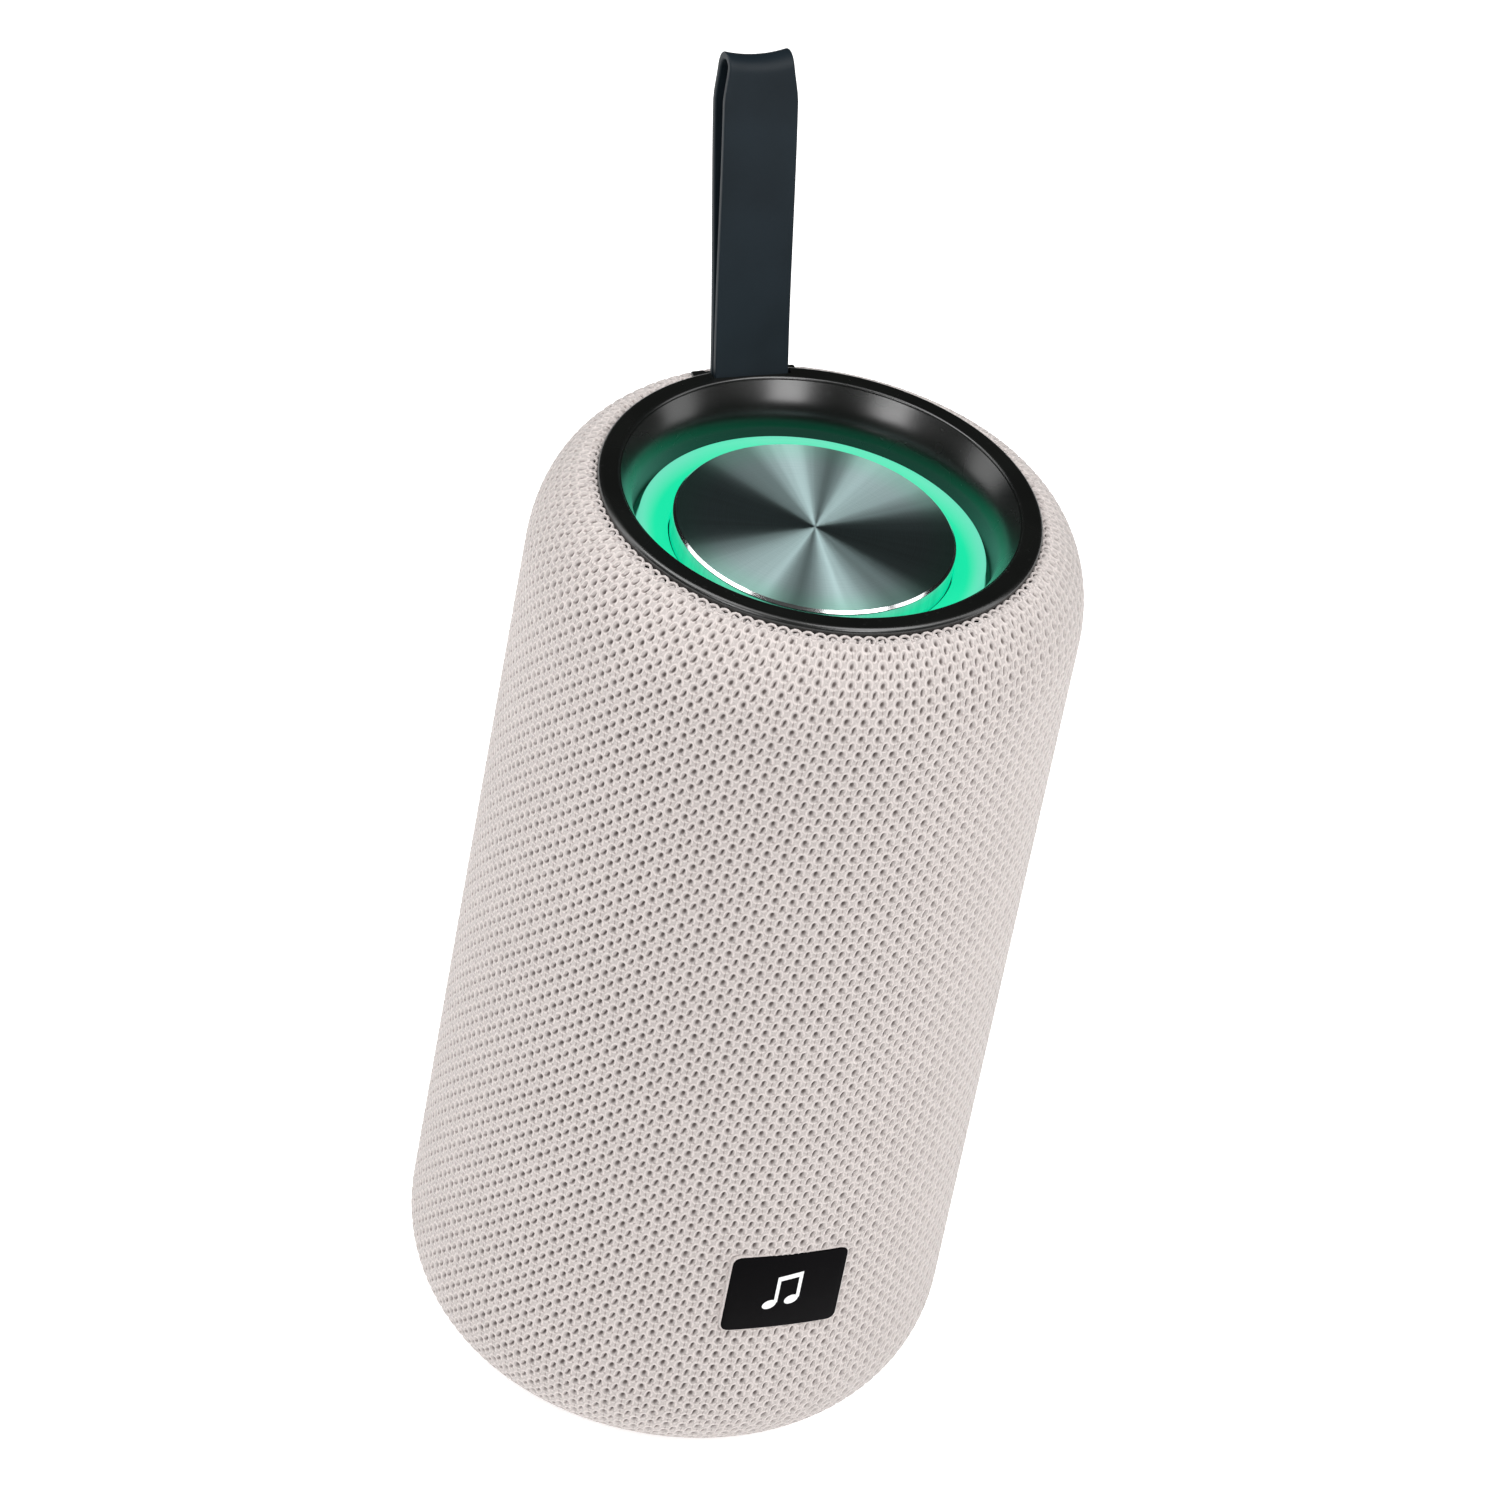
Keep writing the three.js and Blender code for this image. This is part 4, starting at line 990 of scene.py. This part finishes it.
def copies_tree(name, inputs, build):
    """Geometry nodes that set copies of one part round a circle, in one finish.

    Build takes the graph, its inputs and each copy's heading, and returns the part and its turn.
    """
    tree = bpy.data.node_groups.new(name, "GeometryNodeTree")
    shared = [("Count", WHOLE), ("Circle radius", FLOAT), ("Height", FLOAT), ("Finish", FINISH)]
    for label, kind in shared + inputs:
        tree.interface.new_socket(label, in_out="INPUT", socket_type=kind)
    tree.interface.new_socket("Geometry", in_out="OUTPUT", socket_type=SHAPE)
    graph = Graph(tree)
    given = graph.node("NodeGroupInput").outputs
    circle = graph.node(
        "GeometryNodeMeshCircle", {"Vertices": given["Count"], "Radius": given["Circle radius"]}
    )
    place = graph.split(graph.node("GeometryNodeInputPosition").outputs[0])
    part, turn = build(graph, given, graph.math("ARCTAN2", place[1], place[0]))
    rotated = graph.node("FunctionNodeEulerToRotation", {"Euler": turn})
    copies = graph.node(
        "GeometryNodeInstanceOnPoints",
        {"Points": circle.outputs[0], "Instance": part, "Rotation": rotated.outputs[0]},
    )
    lift = graph.joined(0.0, 0.0, given["Height"])
    raised = graph.node("GeometryNodeTransform", {"Geometry": copies.outputs[0], "Translation": lift})
    real = graph.node("GeometryNodeRealizeInstances", {"Geometry": raised.outputs[0]})
    painted = graph.node(
        "GeometryNodeSetMaterial", {"Geometry": real.outputs[0], "Material": given["Finish"]}
    )
    graph.feed(painted.outputs[0], graph.node("NodeGroupOutput").inputs[0])
    return tree


def yarn_loop(graph, given, heading):
    """A loop of yarn across the circle, leaning by the tilt and a little at random."""
    loop = graph.node("GeometryNodeCurvePrimitiveCircle", {"Resolution": 10, "Radius": 1.0})
    size = graph.joined(given["Loop width"], given["Loop length"], 1.0)
    sized = graph.node("GeometryNodeTransform", {"Geometry": loop.outputs[0], "Scale": size})
    section = graph.node(
        "GeometryNodeCurvePrimitiveCircle", {"Resolution": 5, "Radius": given["Yarn radius"]}
    )
    yarn = graph.node(
        "GeometryNodeCurveToMesh", {"Curve": sized.outputs[0], "Profile Curve": section.outputs[0]}
    )
    wobble = graph.node("FunctionNodeRandomValue", {"Seed": given["Seed"]}, data_type="FLOAT")
    for socket, value in zip([s for s in wobble.inputs if s.enabled], (-0.12, 0.12)):
        socket.default_value = value
    lean = next(socket for socket in wobble.outputs if socket.enabled)
    across = graph.math("ADD", heading, math.pi / 2)
    return yarn.outputs[0], graph.joined(graph.math("ADD", given["Tilt"], lean), 0.0, across)


def grip_rib(graph, given, heading):
    """A short straight rib that points away from the middle."""
    size = graph.joined(given["Rib length"], given["Rib width"], given["Rib height"])
    bar = graph.node("GeometryNodeMeshCube", {"Size": size})
    return bar.outputs[0], graph.joined(0.0, 0.0, heading)


def grown(name, tree, values):
    """Runs a geometry tree once with the given inputs and keeps the plain mesh."""
    made = bpy.data.objects.new(name, bpy.data.meshes.new(name))
    bpy.context.scene.collection.objects.link(made)
    grow = made.modifiers.new("grow", "NODES")
    grow.node_group = tree
    for socket in tree.interface.items_tree:
        if socket.in_out == "INPUT" and socket.name in values:
            grow[socket.identifier] = values[socket.name]
    return apply_all(made, 60.0)


def knit_edges(finishes):
    """The row of loops that shows where the sleeve tucks in beside the ring."""
    names = ("Loop width", "Loop length", "Yarn radius", "Tilt")
    inputs = [(name, FLOAT) for name in names] + [("Seed", WHOLE)]
    made = grown(
        "knit_edge_loops",
        copies_tree("edge_loops", inputs, yarn_loop),
        {
            "Count": 118,
            "Circle radius": RING_OUTER + 0.95 * MM,
            "Height": 180.05 * MM,
            "Loop width": 0.98 * MM,
            "Loop length": 0.95 * MM,
            "Yarn radius": 0.30 * MM,
            "Tilt": math.radians(14),
            "Seed": 4,
            "Finish": finishes["edge_yarn"],
        },
    )
    work = bmesh.new()
    work.from_mesh(made.data)
    clear = BRACKET_HALF + 0.1 * MM
    gone = [v for v in work.verts if v.co.y > 30 * MM and abs(v.co.x) < clear]
    bmesh.ops.delete(work, geom=gone, context="VERTS")
    work.to_mesh(made.data)
    work.free()
    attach(made, "housing")


# ------------------------------------------------------------------ ring, light, cap
SMOOTHING = 40


def smooth_line(points, steps):
    """A smooth line through (radius, height) points, even in height."""
    radii, heights = np.array(points).T
    even = np.linspace(heights[0], heights[-1], steps + 1)
    rough = np.interp(even, heights, radii)
    for _ in range(SMOOTHING):
        rough[1:-1] = 0.25 * rough[:-2] + 0.5 * rough[1:-1] + 0.25 * rough[2:]
    return list(zip(rough, even))


def ring_outline():
    """Bowl wall, rounded lip, flat land and outer edge, down to where the chamber holds it."""
    foot, floor_height = 30.8 * MM, 170.0 * MM
    wall_mm = [
        (30.85, 173.0),
        (31.0, 174.8),
        (31.2, 176.2),
        (31.55, 177.4),
        (32.05, 178.4),
        (32.7, 179.4),
        (33.35, 180.4),
        (34.0, 181.4),
    ]
    wall = smooth_line([(foot, 171.3 * MM)] + [(r * MM, z * MM) for r, z in wall_mm], 36)
    lip = arc((34.7 * MM, RING_TOP - 0.5 * MM), (0.5 * MM, 0.5 * MM), 170, 92, 6)
    land = [(34.8 * MM, RING_TOP), (36.9 * MM, RING_TOP)]
    edge = arc((36.95 * MM, RING_TOP - 0.95 * MM), (0.95 * MM, 0.95 * MM), 88, 0, 8)
    under = [(RING_OUTER, 176.0 * MM), (36.2 * MM, 176.0 * MM), (36.2 * MM, 168.0 * MM)]
    inside = [(34.4 * MM, 168.0 * MM), (34.4 * MM, floor_height)]
    return [(foot, floor_height)] + wall + lip + land + edge + under + inside


def strap_frame():
    """Across, along and width directions of the strap, at rest."""
    across = Vector((0, math.cos(STRAP_LEAN), -math.sin(STRAP_LEAN)))
    along = Vector((0, math.sin(STRAP_LEAN), math.cos(STRAP_LEAN)))
    return across, along


def top_ring(finishes):
    made = revolve("bezel_ring", ring_outline(), ROUND_SIDES, 25.0)
    back = ring_high.y
    low_corner = (-BRACKET_HALF, BRACKET_FRONT, BRACKET_BOTTOM)
    bracket = block("bracket", low_corner, (BRACKET_HALF, back, BRACKET_TOP), 0.35 * MM)
    carved(made, [bracket], "UNION")
    sill = block(
        "sill",
        (-SLOT_SIDE, SILL_FRONT, SILL_TOP),
        (SLOT_SIDE, back + 2 * MM, RING_TOP + MM),
    )
    across, along = strap_frame()
    corners = []
    for u in (-1.8, 1.8):
        for v in (-5.9, 5.0):
            for x in (-SLOT_SIDE, SLOT_SIDE):
                corners.append(BEND + across * u * MM + along * v * MM + Vector((x, 0, 0)))
    walls = [(0, 1, 3, 2), (4, 6, 7, 5), (0, 4, 5, 1), (2, 3, 7, 6), (0, 2, 6, 4), (1, 5, 7, 3)]
    slot = new_piece("slot", corners, walls)
    face_outwards(slot)
    carved(made, [sill, slot])
    soften(made, 25.0)
    place_piece(made, "housing", finishes["black_gloss"], ["top_ring"])


def light_ring(finishes):
    """Milky ring with a raised outer edge, on a wider flange that stays dim."""
    inner, outer = light_rings()
    base = light_low.z
    low, high = 171.2 * MM, light_high.z
    outline = [
        (inner, base),
        (light_high.x, base),
        (light_high.x, base + 0.6 * MM),
        (outer, base + 0.6 * MM),
        (outer, high - 0.5 * MM),
        *arc((outer - 0.35 * MM, high - 0.4 * MM), (0.35 * MM, 0.4 * MM), 0, 90, 5),
        (outer - 0.9 * MM, high - 0.15 * MM),
        (inner + 3.1 * MM, low + 0.12 * MM),
        (inner + 2.4 * MM, low),
        *arc((inner + 0.2 * MM, low - 0.2 * MM), (0.2 * MM, 0.2 * MM), 90, 180, 4),
    ]
    made = revolve("glow_ring", outline, ROUND_SIDES, 50.0)
    place_piece(made, "housing", finishes["light_diffuser"], ["light_ring"])


def cap_disc(finishes):
    """Spun disc with a very shallow dish, and its bright cut edge as a second piece."""
    top, radius = CAP_TOP, CAP_RADIUS
    skirt = cap_low.z
    chamfer = 0.48 * MM
    face = [(0.0, top - 0.10 * MM), (8 * MM, top - 0.09 * MM), (16 * MM, top - 0.05 * MM)]
    face += [(22 * MM, top - 0.01 * MM), (radius - chamfer, top)]
    under = [(radius - chamfer - 0.2 * MM, top - 0.9 * MM), (0.0, top - 1.0 * MM)]
    disc = revolve("spun_disc", face + under, ROUND_SIDES, 30.0)
    place_piece(disc, "radiator", finishes["spun_metal"])
    edge = [
        (radius - chamfer, top),
        (radius - 0.05 * MM, top - chamfer + 0.05 * MM),
        (radius, top - chamfer - 0.1 * MM),
        (radius, skirt + 0.2 * MM),
        (radius - 0.2 * MM, skirt),
        (radius - 0.9 * MM, skirt),
        (radius - 0.9 * MM, top - 0.9 * MM),
        (radius - chamfer - 0.02 * MM, top - 0.7 * MM),
    ]
    rim = revolve("cut_edge_rim", edge, ROUND_SIDES, 25.0)
    place_piece(rim, "radiator", finishes["cut_edge"], ["radiator_cap"])


# ------------------------------------------------------------------ strap
def strap_path():
    """Middle line of the strap: up the front leg, round the fold and down the back leg."""
    neck, wide, length = 0.78 * MM, 2.3 * MM, 52.8 * MM
    tip = length - wide - 0.65 * MM
    up = []
    for v in np.linspace(-5.4 * MM, tip, 44):
        t = min(max(v / (0.85 * length), 0.0), 1.0)
        ease = t * t * (3 - 2 * t)
        up.append((-(neck + (wide - neck) * ease), v))
    fold = arc((0.0, tip), (wide, wide), 180, 0, 18)
    down = [(-u, v) for u, v in reversed(up)]
    return up[:-1] + fold + down[1:], tip


def strap(finishes):
    """Flat silicone band. At the fold its edges draw in and rise, as bent rubber does."""
    path, tip = strap_path()
    across, along = strap_frame()
    half, thick = STRAP_WIDTH / 2, 0.65 * MM
    corner = 0.32 * MM
    section = rounded_box(half, -thick, thick, corner, 4)
    # Extra points across the width let the fold curve.
    dense = []
    for i, (x, y) in enumerate(section):
        following = section[(i + 1) % len(section)]
        dense.append((x, y))
        gap = following[0] - x
        if abs(gap) > 2 * MM:
            dense.extend((x + gap * k / 12, y) for k in range(1, 12))
    points = []
    count = len(path)
    for i, (u, v) in enumerate(path):
        before, after = path[max(i - 1, 0)], path[min(i + 1, count - 1)]
        run = Vector((after[0] - before[0], after[1] - before[1])).normalized()
        normal = Vector((-run.y, run.x))
        near_fold = max(0.0, 1.0 - max(0.0, tip + 1.5 * MM - v) / (7.0 * MM))
        weight = near_fold * near_fold * (3 - 2 * near_fold)
        for x, y in dense:
            squeeze = x * (1.0 - 0.13 * weight)
            rise = 0.75 * MM * weight * ((x / half) ** 2 - 0.35)
            spot = BEND + across * (u + normal.x * y) + along * (v + normal.y * y + rise)
            points.append(spot + Vector((squeeze, 0, 0)))
    width = len(dense)
    faces = []
    for i in range(count - 1):
        for k in range(width):
            after = (k + 1) % width
            faces.append([i * width + k, i * width + after, (i + 1) * width + after, (i + 1) * width + k])
    faces.append(list(range(width)))
    faces.append(list(range((count - 1) * width, count * width)))
    made = new_piece("carry_strap", points, faces, 60.0)
    face_outwards(made)
    soften(made, 60.0)
    made.data.materials.append(finishes["silicone"])
    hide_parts("strap_root", "strap_loop")
    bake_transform(made)


# ------------------------------------------------------------------ label
def box_outline(low, high, corner, grow=0.0):
    return rounded_box(high.x + grow, low.z - grow, high.z + grow, corner, 6)


def note_outlines(centre, size):
    """A pair of joined music notes: two heads, two stems and a slanting beam."""
    x, z = centre

    def head(dx, dz):
        outline = []
        for i in range(24):
            angle = 2 * math.pi * i / 24
            along, over = 0.21 * size * math.cos(angle), 0.145 * size * math.sin(angle)
            lean = math.radians(24)
            outline.append(
                (
                    x + dx * size + along * math.cos(lean) - over * math.sin(lean),
                    z + dz * size + along * math.sin(lean) + over * math.cos(lean),
                )
            )
        return outline

    def stem(dx, low, high):
        wide = 0.05 * size
        return [
            (x + dx * size - wide, z + low * size),
            (x + dx * size + wide, z + low * size),
            (x + dx * size + wide, z + high * size),
            (x + dx * size - wide, z + high * size),
        ]

    beam = [
        (x - 0.29 * size, z + 0.36 * size),
        (x + 0.45 * size, z + 0.50 * size),
        (x + 0.45 * size, z + 0.66 * size),
        (x - 0.29 * size, z + 0.52 * size),
    ]
    return [head(-0.42, -0.46), head(0.22, -0.34), stem(-0.24, -0.40, 0.45), stem(0.40, -0.28, 0.58), beam]


def label(finishes):
    """Black plate in a thin cloth rim, with its printed note."""
    outer = BODY_RADIUS + LABEL_PROUD
    high = label_high + Vector((0, 0, LABEL_EXTRA))
    outline = box_outline(label_low, high, 1.8 * MM)
    plate = slab("label_plate_body", outline, -2.0 * MM, 0.0)
    bevelled(plate, 0.22 * MM, 3)
    wrapped(plate, outer, -1, LABEL_BEND)
    place_piece(plate, "housing", finishes["label_gloss"], ["label_plate"])
    rim = box_outline(label_low, high, 2.0 * MM, 0.28 * MM)
    cuff = slab("label_cuff", rim, -2.6 * MM, -0.2 * MM)
    bevelled(cuff, 0.25 * MM, 3)
    wrapped(cuff, outer, -1, LABEL_BEND)
    place_piece(cuff, "housing", finishes["edge_yarn"])
    centre = (0.0, 0.5 * (label_low.z + high.z))
    parts = [
        slab(f"note_{i}", shape, -0.05 * MM, 0.06 * MM)
        for i, shape in enumerate(note_outlines(centre, NOTE_SIZE))
    ]
    sign = carved(parts[0], parts[1:], "UNION")
    sign.name = "label_note"
    wrapped(sign, outer, -1, LABEL_BEND)
    place_piece(sign, "housing", finishes["white_ink"])


# ------------------------------------------------------------------ rear strip
BUTTONS = ("volume_down", "play", "volume_up", "light", "power")


def button_height(name):
    low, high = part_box(f"{name}_button")
    return 0.5 * (low.z + high.z)


def control_strip(finishes):
    radius = panel_high.y
    outline = box_outline(panel_low, panel_high, 4.0 * MM)
    strip = slab("rear_strip", outline, -2.0 * MM, 0.0)
    holes = []
    for name in BUTTONS:
        height = button_height(name)
        ring = [
            (BUTTON_HOLE * math.cos(a), height + BUTTON_HOLE * math.sin(a))
            for a in np.linspace(0, 2 * math.pi, 48, endpoint=False)
        ]
        holes.append(slab("hole", ring, -4 * MM, 2 * MM))
    bay_outline = rounded_box(BAY_HALF, BAY_LOW, BAY_HIGH, 0.8 * MM, 4)
    holes.append(slab("bay_mouth", bay_outline, -4 * MM, 2 * MM))
    carved(strip, holes)
    bevelled(strip, 0.25 * MM, 2, 50.0)
    wrapped(strip, radius, 1)
    place_piece(strip, "housing", finishes["panel_plastic"])
    port_bay(finishes)


def port_bay(finishes):
    """Box behind the flap, with shaped mouths for the three sockets."""
    wall = 1.2 * MM
    outer = block(
        "port_bay_box",
        (-BAY_HALF - wall, 38.2 * MM, BAY_LOW - wall),
        (BAY_HALF + wall, 46.9 * MM, BAY_HIGH + wall),
    )
    room = block("room", (-BAY_HALF, 39.4 * MM, BAY_LOW), (BAY_HALF, 50 * MM, BAY_HIGH))
    # Half width, half height, middle height and corner of the charging, card and audio sockets
    sockets = ((4.7, 1.7, 46.0, 1.6), (5.9, 1.0, 39.4, 0.3), (3.1, 3.1, 31.4, 3.0))
    mouths = []
    for half, rise, height, corner in sockets:
        shape = rounded_box(
            half * MM, (height - rise) * MM, (height + rise) * MM, corner * MM, 6
        )
        mouths.append(slab("mouth", shape, 36 * MM, 41 * MM))
    carved(outer, [room, *mouths])
    bevelled(outer, 0.15 * MM, 2, 50.0)
    place_piece(outer, "housing", finishes["panel_plastic"], ["control_panel"])


def sign_shapes(name):
    """Flat outlines, in millimetres about the button's centre, of each button's sign."""
    ring = [(math.cos(a), math.sin(a)) for a in np.linspace(0, 2 * math.pi, 32, endpoint=False)]
    bar = [(-1.6, -0.22), (1.6, -0.22), (1.6, 0.22), (-1.6, 0.22)]
    post = [(-0.22, -1.6), (0.22, -1.6), (0.22, 1.6), (-0.22, 1.6)]
    if name == "volume_down":
        return [bar]
    if name == "volume_up":
        return [bar, post]
    if name == "play":
        return [[(-1.0, -1.5), (1.7, 0.0), (-1.0, 1.5)]]
    if name == "power":
        sweep = np.radians(np.linspace(125, 415, 30))
        outer = [(1.7 * math.cos(a), 1.7 * math.sin(a)) for a in sweep]
        inner = [(1.25 * math.cos(a), 1.25 * math.sin(a)) for a in reversed(sweep)]
        return [outer + inner, [(-0.2, 0.2), (0.2, 0.2), (0.2, 2.0), (-0.2, 2.0)]]
    rays = []
    for k in range(8):
        angle = math.pi * k / 4
        turn = Matrix.Rotation(angle, 2)
        spoke = [(1.25, -0.16), (1.9, -0.16), (1.9, 0.16), (1.25, 0.16)]
        rays.append([tuple(turn @ Vector(point)) for point in spoke])
    return [[(0.85 * x, 0.85 * y) for x, y in ring], *rays]


def buttons(finishes):
    for name in BUTTONS:
        height = button_height(name)
        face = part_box(f"{name}_button")[1].y
        radius = BUTTON_RADIUS
        outline = [
            (0.0, -4.4 * MM),
            (5.2 * MM, -4.4 * MM),
            (5.2 * MM, -3.6 * MM),
            (radius, -3.6 * MM),
            (radius, -0.8 * MM),
            *arc((radius - 0.7 * MM, -0.8 * MM), (0.7 * MM, 0.7 * MM), 0, 80, 6),
            (2.6 * MM, -0.06 * MM),
            (1.2 * MM, -0.10 * MM),
            (0.0, -0.10 * MM),
        ]
        key = revolve(f"{name}_key", outline, SMALL_SIDES, 40.0)
        key.data.transform(Matrix.Translation((0, face, height)) @ Matrix.Rotation(-math.pi / 2, 4, "X"))
        place_piece(key, name, finishes["button_rubber"], [f"{name}_button"])
        parts = []
        for shape in sign_shapes(name):
            flat = [(-x * MM, height + z * MM) for x, z in shape]
            parts.append(slab("sign", flat, face - 0.35 * MM, face - 0.005 * MM))
        sign = parts[0]
        if len(parts) > 1:
            carved(sign, parts[1:], "UNION")
        sign.name = f"{name}_sign"
        soften(sign)
        place_piece(sign, name, finishes["white_ink"])


def flap(finishes):
    """Rubber door that turns about its foot, with a pull lip at the top and a groove."""
    pivot = Vector(next(j for j in frame["joints"] if j["name"] == "port_flap_hinge")["pos_m"])
    front = pivot.y + 0.8 * MM
    half, top = flap_high.x, flap_high.z
    outline = rounded(
        [
            (-half, pivot.z - 0.75 * MM, 0.5 * MM),
            (half, pivot.z - 0.75 * MM, 0.5 * MM),
            (half, top, 1.0 * MM),
            (-half, top, 1.0 * MM),
        ],
        5,
    )
    door = slab("flap_door", outline, front - 1.6 * MM, front)
    bevelled(door, 0.35 * MM, 4, 50.0)
    lip_low, lip_high = (-3 * MM, front - 0.4 * MM, top - 1.3 * MM), (3 * MM, flap_high.y, top - 0.05 * MM)
    lip = block("lip", lip_low, lip_high, 0.35 * MM)
    groove_low, groove_high = (-5.6 * MM, front - 0.25 * MM, 29.6 * MM), (5.6 * MM, front + MM, 30.0 * MM)
    groove = block("groove", groove_low, groove_high)
    carved(door, [lip], "UNION")
    carved(door, [groove])
    soften(door)
    place_piece(door, "flap", finishes["flap_rubber"], ["port_flap"])


# ------------------------------------------------------------------ base
def base(finishes):
    """Rubber foot with two moulded grooves, the plate rim round it and grip ribs."""
    radius, top = foot_high.x, foot_high.z
    groove = 0.5 * MM

    def ring_groove(middle):
        return [
            (middle - 0.8 * MM, 0.0),
            (middle - 0.5 * MM, groove),
            (middle + 0.5 * MM, groove),
            (middle + 0.8 * MM, 0.0),
        ]

    outline = [
        (0.0, 0.0),
        *ring_groove(10 * MM),
        *ring_groove(18 * MM),
        (radius - 4.2 * MM, 0.0),
        (radius - 3.9 * MM, 0.45 * MM),
        (radius - 1.5 * MM, 0.45 * MM),
        (radius - 1.2 * MM, 0.0),
        *arc((radius - 0.9 * MM, 0.9 * MM), (0.9 * MM, 0.9 * MM), -80, 0, 6),
        (radius, top),
        (0.0, top),
    ]
    pad = revolve("rubber_foot", outline, ROUND_SIDES, 25.0)
    place_piece(pad, "housing", finishes["foot_rubber"], ["foot_pad"])
    inputs = [(name, FLOAT) for name in ("Rib length", "Rib width", "Rib height")]
    ribs = grown(
        "foot_ribs",
        copies_tree("grip_ribs", inputs, grip_rib),
        {
            "Count": 72,
            "Circle radius": radius - 2.7 * MM,
            "Rib length": 2.3 * MM,
            "Rib width": 0.8 * MM,
            "Rib height": 0.4 * MM,
            "Height": 0.27 * MM,
            "Finish": finishes["foot_rubber"],
        },
    )
    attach(ribs, "housing")
    neck = 29.2 * MM
    rim = [
        (0.0, 2.7 * MM),
        (27.8 * MM, 2.7 * MM),
        (27.8 * MM, base_low.z + 0.3 * MM),
        (28.1 * MM, base_low.z),
        *arc((neck - 0.4 * MM, base_low.z + 0.4 * MM), (0.4 * MM, 0.4 * MM), -90, 0, 5),
        (neck, 5.0 * MM),
        (base_high.x, 5.0 * MM),
        (base_high.x, base_high.z),
        (0.0, base_high.z),
    ]
    plate = revolve("base_rim", rim, ROUND_SIDES, 25.0)
    place_piece(plate, "housing", finishes["panel_plastic"], ["base_plate"])


# ------------------------------------------------------------------ inner pieces
def finish_inner_nodes(finishes):
    """The pieces inside keep their CAD shape and take the finish of their slot."""
    slot_of = {row["node"]: row["material_slot"] for row in frame["record"]["subparts"]}
    for name, node in frame["nodes"].items():
        slot = slot_of[name]
        material = finishes.get(slot)
        if material is None or slot == "knit_fabric":
            material = finishes["grey_plastic"]
        if not node.material_slots:
            node.data.materials.append(material)
        for holder in node.material_slots:
            holder.material = material


# ------------------------------------------------------------------ assembly
finishes = make_finishes()
camera_and_light()
floor()
finish_inner_nodes(finishes)
knit_sleeve(finishes)
knit_edges(finishes)
top_ring(finishes)
light_ring(finishes)
cap_disc(finishes)
strap(finishes)
label(finishes)
control_strip(finishes)
buttons(finishes)
flap(finishes)
base(finishes)
